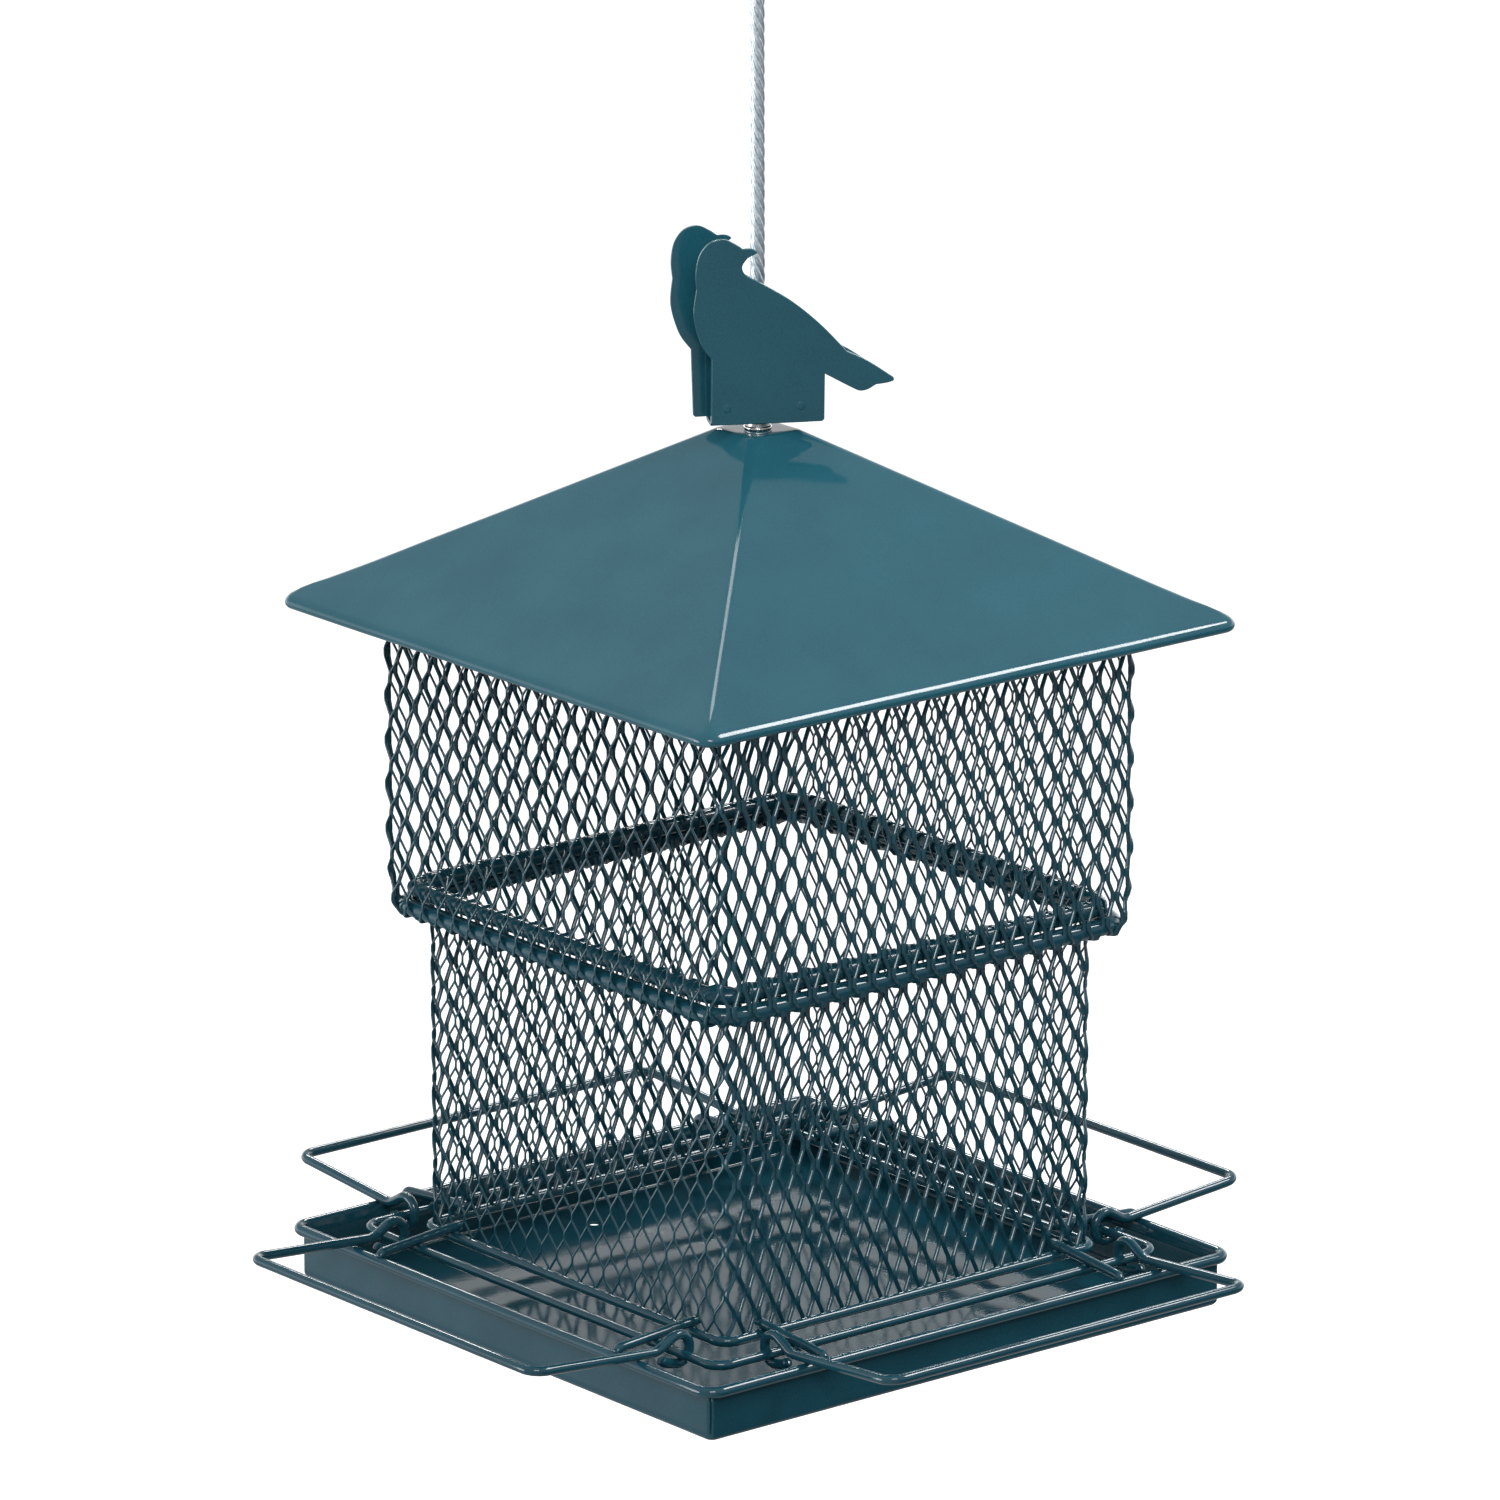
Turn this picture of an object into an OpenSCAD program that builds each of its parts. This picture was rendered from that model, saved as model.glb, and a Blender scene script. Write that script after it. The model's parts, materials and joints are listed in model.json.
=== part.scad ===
// Hanging bird feeder: two square expanded-metal baskets that telescope, a tray with four
// folding wire perches, a pyramid roof that slides up the hanging cable, and two sheet-metal
// birds on a swivelling bracket. Millimetres, +Z up, origin where the loop bears on its hook.
// Heights in the values below are above the centre of the tray's rolled hem.

/* [Tray] */
// Half width of the tray, to the centre of its rolled hem
tray_half = 100; // [98:0.5:102]
// Depth of the tray, from its hem's centre to its underside
tray_depth = 15.6; // [12:0.2:20]
// Diameter of the rolled hems on the tray and the roof
hem_d = 3.5; // [3:0.1:4]
// Thickness of the tray's and the roof's sheet
sheet = 0.9; // [0.7:0.1:1.2]
// Diameter of a drain hole
drain_d = 3; // [2:0.5:5]
// Distance of the drain holes from the tray's middle
drain_reach = 80; // [70:1:88]

/* [Baskets] */
// Half width of the lower basket's mesh
lower_half = 72.2; // [71:0.2:73]
// Half width of the upper basket's mesh
upper_half = 81.4; // [81:0.2:83]
// Height of the lower basket's rolled top ring
lower_ring_z = 108.5; // [107:0.5:112]
// Height of the upper basket's rolled bottom ring
upper_ring_z = 103.6; // [101:0.1:104]
// Height of the ring under the roof
top_ring_z = 204.3; // [203:0.1:204.4]
// Diameter of the baskets' rings
ring_d = 4.8; // [4:0.2:5]
// Width of one opening of the mesh
mesh_w = 7.53; // [6:0.01:9]
// Height of one opening of the mesh
mesh_h = 13.56; // [11:0.01:16]
// Width of a strand of the mesh
strand = 1.4; // [1:0.1:1.8]
// Thickness of the mesh
mesh_t = 1.2; // [0.8:0.1:1.5]

/* [Base wires] */
// Half width of the wire at the foot of the lower mesh
foot_half = 71.9; // [71.5:0.1:72.5]
// Diameter of the foot wire
foot_d = 3.2; // [3:0.1:3.4]
// Half width of the wire that the perches hang on
perch_wire_half = 85.1; // [84:0.1:86]
// Diameter of the perch wire, the tie bars and the perches
wire_d = 3; // [2.8:0.1:3.2]
// Distance of each tie bar from the middle of its side
tie_at = 57; // [50:0.5:57.5]

/* [Perches] */
// Reach of a perch's outer bar from the feeder's middle
perch_reach = 139; // [130:1:150]
// Distance between a perch's two arms
perch_span = 136.6; // [136:0.2:138]
// Offset of each perch along its side: front, right, back, left
perch_shift = [4.3, 7.9, 0, -1];
// Height of a perch's outer bar
perch_bar_z = 6.5; // [5:0.5:8]
// Radius of an eye's wire centre
eye_r = 4.4; // [4.2:0.1:4.8]

/* [Roof] */
// Half width of the roof, to the centre of its rolled hem
roof_half = 100; // [98:0.2:101]
// Height of the roof's hem
roof_hem_z = 196.2; // [195:0.2:197]
// Height at which the four slopes would meet
apex_z = 258.2; // [258:0.2:260]
// Half width of the flat top
flat_half = 9.2; // [8:0.2:11]

/* [Finial] */
// Turn of the birds from the front's direction
finial_turn = -30; // [-180:1:180]
// Height of the finial bracket's underside
bracket_z = 254.8; // [254.8:0.1:256]
// Length of the bracket
bracket_len = 29.4; // [26:0.2:32]
// Distance between the two birds at the bracket's floor
bird_gap = 9.4; // [9:0.2:11]
// Outward lean of each bird
bird_lean = 4; // [3:0.5:5]
// Thickness of the finial's sheet
bird_t = 1.2; // [1:0.1:1.5]

/* [Cable] */
// Diameter of the wire rope
cable_d = 4.4; // [4:0.1:4.6]
// Height of the hanging point
hang_h = 460; // [455:1:480]

/* [Hidden] */
$fn = 48;
slack = 0.3;
SIDES = ["front", "right", "back", "left"];
TIES = 8;

tray_wall = tray_half - hem_d / 2 + 0.15;
hem_bend = 5;
foot_z = 2;
foot_bend = 5.5;
perch_wire_z = 1;
perch_wire_bend = 6;
lower_bend = 9;
upper_bend = 10;
ring_bend = 9;
lower_ring_half = 74.6;
upper_ring_half = 77.4;
top_ring_half = 79.5;

// The tie bars lie on the foot wire and on the perch wire and run on down to the hem.
tie_inner = 69;
tie_outer = 98;
tie_z0 = foot_z + (foot_d + wire_d) / 2;
tie_z1 = perch_wire_z + wire_d;
tie_slope = atan2(tie_z0 - tie_z1, perch_wire_half - foot_half);
tie_bend = 2.6;
tie_drop = 62;

// A perch: its eye hangs on the perch wire, and its arms rest on the hem.
eye_x = perch_wire_half + 0.4;
eye_z = perch_wire_z + eye_r - wire_d - 0.2;
arm_rest_z = (hem_d + wire_d) / 2 + 0.2;
arm_slope = atan2(perch_bar_z - arm_rest_z, perch_reach - tray_half);
arm_bend = 5;
neck_slope = 30;
neck_bend = 7;
eye_end = 285;
tail_len = 3.2;
tail_bend = 4;

// Where the neck leaves the eye, and where its line meets the arm's line.
neck_x = eye_x + eye_r * sin(neck_slope);
neck_z = eye_z + eye_r * cos(neck_slope);
function arm_z(x) = arm_rest_z + (x - tray_half) * tan(arm_slope);
meet_x = (neck_z - arm_rest_z + tray_half * tan(arm_slope) + neck_x * tan(neck_slope))
         / (tan(arm_slope) + tan(neck_slope));
wire_sides = 10;

strap_w = 14;
strap_t = 2.2;
strap_z = top_ring_z - 1.1;
washer_t = 1.6;
stop_len = 12.5;
stop_z = strap_z - washer_t - stop_len;
cable_clear = 0.4;

roof_slope = (apex_z - roof_hem_z - 1.48) / (roof_half + 0.93);
roof_rise = sheet / cos(atan(roof_slope));
flat_z = apex_z - roof_slope * flat_half;

eyelet_bore = cable_d / 2 + 0.3;
eyelet_tube = 3;
eyelet_foot = 4.2;
eyelet_collar = 3.6;
eyelet_lip = 3.3;
eyelet_z = flat_z + 0.06;
eyelet_top = bracket_z + bird_t + 0.9;
flange_h = 20.6;
rivet_at = [4.5, 26.5];
rivet_up = 5;
rivet_r = 1.2;

ferrule_z = -66;
ferrule_len = 16;

// The cable's route from the stop under the strap up to the ferrule, round the loop and back.
ROUTE = [
  [0, 0, -272.5], [0, 0, -240], [0, 0, -200], [0, 0, -160], [0, 0, -120], [0, 0, -90],
  [0, 0, -74], [0, 0, -68], [1.2, 0, -64.5], [2.3, 0, -60], [2.3, 0, -50], [3.8, 0, -42],
  [9, 0, -33.5], [14.7, 0, -26], [17.6, 0, -20], [17.8, 0, -13], [15.3, 0, -6.3],
  [9, 0, -0.2], [0, 0, 2.2], [-9, 0, -0.2], [-15.3, 0, -6.3], [-17.8, 0, -13],
  [-17.6, 0, -20], [-14.7, 0, -26], [-9, 0, -33.5], [-3.8, 0, -42], [-2.3, 0, -50],
  [-2.3, 0, -57.5]
];
cable_sides = 10;
cable_step = 10.5;

// A bird's outline from the lower corner under its breast: straight stretches and curves
// through the points between them. Each stretch is a list of points that one curve passes.
BIRD = [
  [[33.7, 0.6], [33, 0], [0.6, 0], [0, 0.6]],
  [[0, 20.3], [-3.4, 25.4], [-5.6, 34], [-4.8, 42]],
  [[-4.8, 42], [-5.1, 47], [-4, 52.4], [-1, 56.2], [3, 57.2], [6.4, 55.8], [8.9, 54]],
  [[8.9, 54], [11.6, 53.9], [13.2, 52.8], [10.3, 51.2]],
  [[10.3, 51.2], [8.7, 48.7], [9.6, 46.2], [12.6, 44.4]],
  [[12.6, 44.4], [23, 37.9], [32, 30.2], [40.2, 21.3]],
  [[40.2, 21.3], [46.3, 18.2], [54.2, 12.7]],
  [[54.2, 12.7], [54.4, 11.8], [52.5, 11.1], [49, 10.7]],
  [[49, 10.7], [46.6, 9.3], [44.4, 8.9], [42, 9.9], [33.7, 14.6]]
];
bird_left = -14.7;
bird_rise = 0.8;
outline_step = 1.8;

// Puts a shape drawn above the tray's hem into the part's own frame.
module hung() { translate([0, 0, -hang_h]) children(); }

// Turns a shape drawn on the front (-Y) side to side k.
module side(k) { rotate([0, 0, 90 * k]) children(); }

// A closed square ring of round bar with bent corners.
module square_ring(half, bend, d, z) {
  straight = half - bend;
  translate([0, 0, z]) for (k = [0 : 3]) side(k) {
    translate([0, -half, 0]) rotate([0, 90, 0]) cylinder(d = d, h = 2 * straight, center = true);
    translate([straight, -straight, 0]) bend(bend, -90, 0, d);
  }
}

// A bend of round bar in the XY plane about the origin, from angle a0 to a1.
module bend(r, a0, a1, d) {
  rotate([0, 0, a0]) rotate_extrude(angle = a1 - a0) translate([r, 0]) circle(d = d);
}

// A point on the curve through four neighbouring route points.
function curve(a, b, c, d, t) =
  0.5 * ((2 * b) + (c - a) * t + (2 * a - 5 * b + 4 * c - d) * t * t
         + (3 * b - a - 3 * c + d) * t * t * t);
function at(P, i) = P[max(0, min(len(P) - 1, i))];
function steps(a, b, spacing) = max(1, round(norm(b - a) / spacing));
function smooth(P, spacing) = [
  for (i = [0 : len(P) - 2])
    let (n = steps(P[i], P[i + 1], spacing))
      for (j = [0 : n - 1]) curve(at(P, i - 1), P[i], P[i + 1], at(P, i + 2), j / n),
  P[len(P) - 1]
];
function unit(v) = v / norm(v);

function heading(P, i) = unit(at(P, i + 1) - at(P, i - 1));
function squared(v, t) = unit(v - (v * t) * t);

// A tube of n sides about a line of points. The direction of its first corner is carried
// from ring to ring, so the sides don't twist.
module tube(P, r, n, first = [0, 1, 0]) {
  last = len(P) - 1;
  sides = [
    for (i = 0, v = squared(first, heading(P, 0)); i <= last;
         i = i + 1, v = i <= last ? squared(v, heading(P, i)) : v) v
  ];
  rings = [
    for (i = [0 : last]) let (out = cross(sides[i], heading(P, i)))
      for (j = [0 : n - 1]) P[i] + r * (cos(360 * j / n) * out + sin(360 * j / n) * sides[i])
  ];
  polyhedron(rings, concat(
    [[for (j = [0 : n - 1]) j]],
    [for (i = [0 : last - 1], j = [0 : n - 1])
      let (a = i * n + j, b = i * n + (j + 1) % n) [a, a + n, b + n, b]],
    [[for (j = [n - 1 : -1 : 0]) last * n + j]]
  ));
}

// Points on an arc of n steps about c, from angle a0 to a1.
function arc(c, r, a0, a1, n) =
  [for (i = [0 : n]) let (a = a0 + (a1 - a0) * i / n) c + r * [cos(a), sin(a)]];
function turned(P) = [for (i = [len(P) - 1 : -1 : 0]) P[i]];
// Sets points drawn outward and up, in the plane at x on the front side.
function set_up(P, x) = [for (p = P) [x, -p.x, p.y]];

// ---- tray ----
module tray() color("darkslategray") hung() {
  difference() {
    translate([-tray_wall, -tray_wall, -tray_depth])
      cube([2 * tray_wall, 2 * tray_wall, tray_depth]);
    translate([-tray_wall + sheet, -tray_wall + sheet, -tray_depth + sheet])
      cube([2 * (tray_wall - sheet), 2 * (tray_wall - sheet), tray_depth]);
    for (i = [-1 : 1], j = [-1 : 1]) if (i != 0 || j != 0)
      translate([i * drain_reach, j * drain_reach, -tray_depth - 1])
        cylinder(d = drain_d, h = sheet + 2);
  }
  square_ring(tray_half, hem_bend, hem_d, 0);
}

// ---- wires of the base ----
module foot_wire() color("darkslategray") hung()
  square_ring(foot_half, foot_bend, foot_d, foot_z);

module perch_wire() color("darkslategray") hung()
  square_ring(perch_wire_half, perch_wire_bend, wire_d, perch_wire_z);

// Tie bar i of 8: two on each side, one each way from the middle. It is straight over the
// wires and turns down at its outer end.
module tie_bar(i) color("darkslategray") hung() side(floor(i / 2)) {
  end_z = tie_z0 - (tie_outer - foot_half) * tan(tie_slope);
  inner_z = tie_z0 + (foot_half - tie_inner) * tan(tie_slope);
  centre = [tie_outer, end_z] - tie_bend * [sin(tie_slope), cos(tie_slope)];
  top = 90 - tie_slope;
  tube(
    set_up(concat([[tie_inner, inner_z]], arc(centre, tie_bend, top, top - tie_drop, 4)),
           tie_at * (i % 2 == 0 ? -1 : 1)),
    wire_d / 2, wire_sides, [1, 0, 0]
  );
}

// ---- mesh ----
// One flat stretch of mesh: openings in rows, each row half a pitch along from the last.
module grille(w, z0, z1, over = 0) {
  hole_x = mesh_w / 2 - strand * 0.57;
  hole_z = mesh_h / 2 - strand;
  rows = floor((z1 - z0) / mesh_h * 2);
  cols = ceil(w / mesh_w);
  difference() {
    translate([-w / 2 - over, z0]) square([w + 2 * over, z1 - z0]);
    for (j = [1 : rows - 1], i = [-cols : cols]) {
      x = (i + (j % 2) / 2) * mesh_w;
      if (abs(x) < w / 2 - hole_x - 0.5) translate([x, z0 + j * mesh_h / 2])
        polygon([[-hole_x, 0], [0, -hole_z], [hole_x, 0], [0, hole_z]]);
    }
  }
}

// The flat mesh of one side of a basket.
module mesh_side(half, bend, z0, z1) {
  translate([0, -half, 0]) rotate([90, 0, 0]) linear_extrude(mesh_t, center = true)
    grille(2 * (half - bend), z0, z1);
}

// The narrow stretch of mesh across the corner at a side's right-hand end.
module mesh_corner(half, bend, z0, z1) {
  translate([half - bend / 2, -half + bend / 2, 0]) rotate([90, 0, 45])
    linear_extrude(mesh_t, center = true) grille(bend * sqrt(2), z0, z1, over = slack);
}

module lower_mesh(k) color("darkslategray") hung() side(k)
  mesh_side(lower_half, lower_bend, foot_z, lower_ring_z);

module lower_mesh_corner(k) color("darkslategray") hung() side(k)
  mesh_corner(lower_half, lower_bend, foot_z, lower_ring_z);

module upper_mesh(k) color("darkslategray") hung() side(k) {
  mesh_side(upper_half, upper_bend, upper_ring_z - 0.6, top_ring_z);
  // The foot of the mesh turns in to wrap the bottom ring.
  lip = upper_half - upper_ring_half - ring_d / 2 + 0.8;
  translate([-upper_half + upper_bend + 1, -upper_half - mesh_t / 2, upper_ring_z - 0.6])
    cube([2 * (upper_half - upper_bend - 1), lip + mesh_t / 2, mesh_t]);
}

module upper_mesh_corner(k) color("darkslategray") hung() side(k)
  mesh_corner(upper_half, upper_bend, upper_ring_z - 0.6, top_ring_z);

// ---- rings and the strap that carries everything ----
module lower_top_ring() color("darkslategray") hung()
  square_ring(lower_ring_half, ring_bend, ring_d, lower_ring_z);

module upper_bottom_ring() color("darkslategray") hung()
  square_ring(upper_ring_half, ring_bend, ring_d, upper_ring_z);

module upper_top_ring() color("darkslategray") hung()
  square_ring(top_ring_half, ring_bend, ring_d, top_ring_z);

module cross_strap() color("darkslategray") hung() difference() {
  len = 2 * (top_ring_half - ring_d / 2 + 0.9);
  translate([-len / 2, -strap_w / 2, strap_z]) cube([len, strap_w, strap_t]);
  translate([0, 0, strap_z - 1]) cylinder(r = cable_d / 2 + cable_clear, h = strap_t + 2);
}

module stop_washer() color("silver") hung() difference() {
  translate([0, 0, strap_z - washer_t]) cylinder(d = 14, h = washer_t);
  translate([0, 0, strap_z - washer_t - 1])
    cylinder(r = cable_d / 2 + cable_clear, h = washer_t + 2);
}

module cable_stop() color("silver") hung() difference() {
  translate([0, 0, stop_z]) cylinder(d = 9.2, h = stop_len);
  translate([0, 0, stop_z - 1]) cylinder(d = cable_d - 0.1, h = stop_len + 2);
}

// ---- cable ----
module hanging_cable() color("lightgray")
  tube(smooth(ROUTE, cable_step), cable_d / 2, cable_sides);

module loop_ferrule() color("silver") translate([0, 0, ferrule_z]) linear_extrude(ferrule_len)
  union() {
    for (x = [-1, 1]) translate([x * 2.4, 0]) circle(r = 3.6);
    square([4.8, 7.2], center = true);
  }

// ---- roof ----
module frustum(half0, z0, half1, z1) {
  corners = [[-1, -1], [1, -1], [1, 1], [-1, 1]];
  polyhedron(
    [for (c = corners) [c.x * half0, c.y * half0, z0],
     for (c = corners) [c.x * half1, c.y * half1, z1]],
    [[0, 1, 2, 3], [7, 6, 5, 4], [0, 4, 5, 1], [1, 5, 6, 2], [2, 6, 7, 3], [3, 7, 4, 0]]
  );
}

// Half width of the roof's outer and inner faces at height z.
function out_half(z) = (apex_z - z) / roof_slope;
function in_half(z) = (apex_z - roof_rise - z) / roof_slope;

module roof() color("darkslategray") hung() {
  edge_z = roof_hem_z;
  in_z = flat_z - sheet;
  difference() {
    frustum(out_half(edge_z + 1.4), edge_z + 1.4, flat_half, flat_z);
    frustum(in_half(edge_z), edge_z, in_half(in_z), in_z);
    translate([0, 0, flat_z - 5]) cylinder(r = cable_d / 2 + cable_clear, h = 10);
  }
  square_ring(roof_half, 4, hem_d, edge_z);
}

// ---- finial ----
module finial() { hung() rotate([0, 0, finial_turn]) children(); }

// Stands a bird's sheet up on side s (-1 front, 1 rear) of the bracket.
module sheet_at(s) {
  translate([0, s * bird_gap / 2, bracket_z]) rotate([s * -bird_lean, 0, 0])
    translate([0, s * bird_t / 2, 0]) rotate([90, 0, 0]) children();
}

module finial_eyelet() color("silver") finial() difference() {
  union() {
    translate([0, 0, eyelet_z]) cylinder(r = eyelet_foot, h = 1);
    translate([0, 0, eyelet_z]) cylinder(r = eyelet_collar, h = bracket_z - 0.05 - eyelet_z);
    translate([0, 0, eyelet_z]) cylinder(r = eyelet_tube, h = eyelet_top - eyelet_z);
    translate([0, 0, bracket_z + bird_t + 0.05]) cylinder(r = eyelet_lip, h = 0.85);
  }
  translate([0, 0, eyelet_z - 1]) cylinder(r = eyelet_bore, h = 20);
}

// The bracket's section: a floor and two flanges that lean outward.
module bracket_section() {
  up = [sin(bird_lean), cos(bird_lean)];
  across = [cos(bird_lean), -sin(bird_lean)];
  foot = [bird_gap / 2, 0];
  outer = foot + flange_h * up;
  inner = outer - bird_t * across;
  corner = [inner.x - (inner.y - bird_t) * tan(bird_lean), bird_t];
  right = [foot, outer, inner, corner];
  polygon(concat(right, [for (p = turned(right)) [-p.x, p.y]]));
}

module finial_bracket() color("darkslategray") finial() difference() {
  translate([0, 0, bracket_z]) rotate([90, 0, 90])
    linear_extrude(bracket_len, center = true) bracket_section();
  translate([0, 0, bracket_z - 1]) cylinder(r = eyelet_tube + 0.05, h = bird_t + 2);
  for (s = [-1, 1]) rivet_holes(s);
}

module bird_plate() {
  outline = [for (stretch = BIRD) each smooth(stretch, outline_step)];
  linear_extrude(bird_t, center = true) polygon(outline);
}

module rivet_holes(s) {
  sheet_at(s) for (x = rivet_at)
    translate([bird_left + x, bird_rise + rivet_up, -4]) cylinder(r = rivet_r, h = 8);
}

module bird_front() color("darkslategray") finial() difference() {
  sheet_at(-1) translate([bird_left, bird_rise, 0]) bird_plate();
  rivet_holes(-1);
}

module bird_rear() color("darkslategray") finial() difference() {
  sheet_at(1) translate([bird_left - 3.8, bird_rise, 0]) rotate([0, 0, 1.1]) bird_plate();
  rivet_holes(1);
}

module finial_rivets() color("darkslategray") finial()
  for (s = [-1, 1], x = rivet_at) sheet_at(s)
    translate([bird_left + x, bird_rise + rivet_up, (s / 2 - 1) * bird_t])
      cylinder(r = rivet_r, h = 2 * bird_t);

// ---- perches ----
// An arm's wire from its tail under the arm, round the eye and up over the neck.
eye = [eye_x, eye_z];
neck_cut = neck_bend * tan((neck_slope + arm_slope) / 2);
arm_start = [meet_x, arm_z(meet_x)] + neck_cut * [cos(arm_slope), sin(arm_slope)];
neck_centre = arm_start + neck_bend * [-sin(arm_slope), cos(arm_slope)];
tail = eye + eye_r * [cos(eye_end), sin(eye_end)];
tail_dir = eye_end - 270;
tip = tail + tail_len * [cos(tail_dir), sin(tail_dir)];
tail_centre = tip + tail_bend * [-sin(tail_dir), cos(tail_dir)];
ARM = concat(
  arc(tail_centre, tail_bend, tail_dir - 50, tail_dir - 90, 3),
  arc(eye, eye_r, eye_end, 90 - neck_slope, 16),
  arc(neck_centre, neck_bend, -90 - neck_slope, -90 + arm_slope, 4)
);

// The bend from the arm on side s into the outer bar, at angles from a0 to a1.
function outer_bend(s, a0, a1) = [
  for (p = arc([0, 0], arm_bend, a0, a1, 5))
    [s * (perch_span / 2 - arm_bend + p.x), -perch_reach + arm_bend - p.y * cos(arm_slope),
     arm_z(perch_reach - arm_bend) + p.y * sin(arm_slope)]
];

module perch(k) color("darkslategray") hung() side(k) translate([perch_shift[k], 0, 0])
  tube(concat(
    set_up(ARM, perch_span / 2), outer_bend(1, 0, 90),
    outer_bend(-1, 90, 0), turned(set_up(ARM, -perch_span / 2))
  ), wire_d / 2, wire_sides, [1, 0, 0]);

tray();
foot_wire();
perch_wire();
for (i = [0 : TIES - 1])
  tie_bar(i);
for (k = [0 : 3]) {
  lower_mesh(k);
  upper_mesh(k);
  lower_mesh_corner(k);
  upper_mesh_corner(k);
  perch(k);
}
lower_top_ring();
upper_bottom_ring();
upper_top_ring();
cross_strap();
stop_washer();
cable_stop();
hanging_cable();
loop_ferrule();
roof();
finial_eyelet();
finial_bracket();
bird_front();
bird_rear();
finial_rivets();
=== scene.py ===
# %% [markdown]
# # A hanging bird feeder in green enamel
# Two square baskets of expanded metal telescope into each other over a pressed tray. A
# pyramid roof slides up the wire rope, and two sheet-metal birds stand on its peak.
# The engineering model is loaded first as a fixed frame. Every piece below is drawn around
# it, rides on one of its bodies and takes the place of the plain solid that stood there.

# %% Load the frame
import json
import math
import bmesh
import bpy
from mathutils import Matrix, Vector, noise

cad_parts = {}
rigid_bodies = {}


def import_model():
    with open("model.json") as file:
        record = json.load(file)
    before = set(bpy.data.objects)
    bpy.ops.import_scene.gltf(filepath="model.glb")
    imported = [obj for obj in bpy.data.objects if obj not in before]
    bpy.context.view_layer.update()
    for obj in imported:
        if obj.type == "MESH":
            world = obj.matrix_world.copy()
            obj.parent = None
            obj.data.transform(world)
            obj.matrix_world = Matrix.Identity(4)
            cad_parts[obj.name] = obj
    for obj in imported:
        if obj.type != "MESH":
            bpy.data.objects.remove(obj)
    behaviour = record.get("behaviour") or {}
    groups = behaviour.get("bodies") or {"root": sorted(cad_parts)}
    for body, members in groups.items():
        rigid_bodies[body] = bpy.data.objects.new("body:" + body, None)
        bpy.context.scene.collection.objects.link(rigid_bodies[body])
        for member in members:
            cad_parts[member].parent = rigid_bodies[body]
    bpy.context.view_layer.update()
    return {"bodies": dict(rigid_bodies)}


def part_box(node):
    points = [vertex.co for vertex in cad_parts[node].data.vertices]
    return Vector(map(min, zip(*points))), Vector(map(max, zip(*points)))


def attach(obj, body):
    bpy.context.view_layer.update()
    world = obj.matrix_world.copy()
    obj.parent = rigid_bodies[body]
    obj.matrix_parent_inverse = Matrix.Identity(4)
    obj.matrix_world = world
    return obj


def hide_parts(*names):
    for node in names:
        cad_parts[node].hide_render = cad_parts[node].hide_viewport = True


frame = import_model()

print("bodies:", ", ".join(frame["bodies"]))

# %% [markdown]
# ## Working units
# The frame is in metres with its origin at the hanging loop. Sheet and wire work is easier
# to think about in millimetres above the tray's rolled hem, so every shape is drawn that
# way, and placed() turns a finished point into the frame. The main heights and widths are
# read back from the frame, so that nothing has to be fitted later.

# %% Millimetres above the hem
MM = 0.001
HEM_R = 1.75
tray_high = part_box("tray")[1]
HEM_Z = tray_high.z - HEM_R * MM
UP = Vector((0, 0, 1))


def placed(point):
    return (point[0] * MM, point[1] * MM, HEM_Z + point[2] * MM)


def box_mm(node):
    low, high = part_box(node)
    lift = Vector((0, 0, HEM_Z))
    return (low - lift) / MM, (high - lift) / MM


def ring_of(node):
    """Half width, height and bar radius of a square ring in the frame."""
    low, high = box_mm(node)
    r = (high.z - low.z) / 2
    return high.x - r, low.z + r, r


TRAY_HALF = tray_high.x / MM - HEM_R
TRAY_FLOOR = box_mm("tray")[0].z
print(f"tray hem at {TRAY_HALF:.1f} mm, underside at {TRAY_FLOOR:.1f} mm")

# %% [markdown]
# ## Camera
# The camera looks down a little from the front left, through a long lens, so that the
# feeder's uprights stay almost parallel. It is aimed by angles from a point on the tray,
# then slid sideways and up in its own plane, which keeps those angles as they are.

# %% Camera
AZIMUTH, ELEVATION, ROLL = math.radians(-39.12), math.radians(16.01), math.radians(-0.1)
DISTANCE, LENS = 3.532, 281.6
SLIDE_RIGHT, SLIDE_UP = -0.0027, 0.1479


def aim_camera():
    cos_e, sin_e = math.cos(ELEVATION), math.sin(ELEVATION)
    back = Vector((math.sin(AZIMUTH) * cos_e, -math.cos(AZIMUTH) * cos_e, sin_e))
    level = Vector((math.cos(AZIMUTH), math.sin(AZIMUTH), 0))
    upright = back.cross(level)
    right = level * math.cos(ROLL) + upright * math.sin(ROLL)
    top = upright * math.cos(ROLL) - level * math.sin(ROLL)
    camera = bpy.data.objects.new("camera", bpy.data.cameras.new("camera"))
    bpy.context.collection.objects.link(camera)
    camera.data.lens = LENS
    camera.data.sensor_width = 36
    camera.data.clip_end = 50
    place = Vector((0, 0, HEM_Z)) + right * SLIDE_RIGHT + top * SLIDE_UP + back * DISTANCE
    turn = Matrix((right, top, back)).transposed()
    camera.matrix_world = Matrix.Translation(place) @ turn.to_4x4()
    bpy.context.scene.camera = camera
    return camera


print("camera at", [round(v, 3) for v in aim_camera().matrix_world.translation])

# %% [markdown]
# ## Gathering points and faces
# Almost every piece here is bent, rolled or drawn, which means a line of points with a
# cross-section carried along it. A Shape gathers such loops of points and joins each to the
# next with quads. That gives clean, even meshes that follow the metal, and a piece made of
# several parts, such as a bar with its welds, stays one object.

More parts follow.
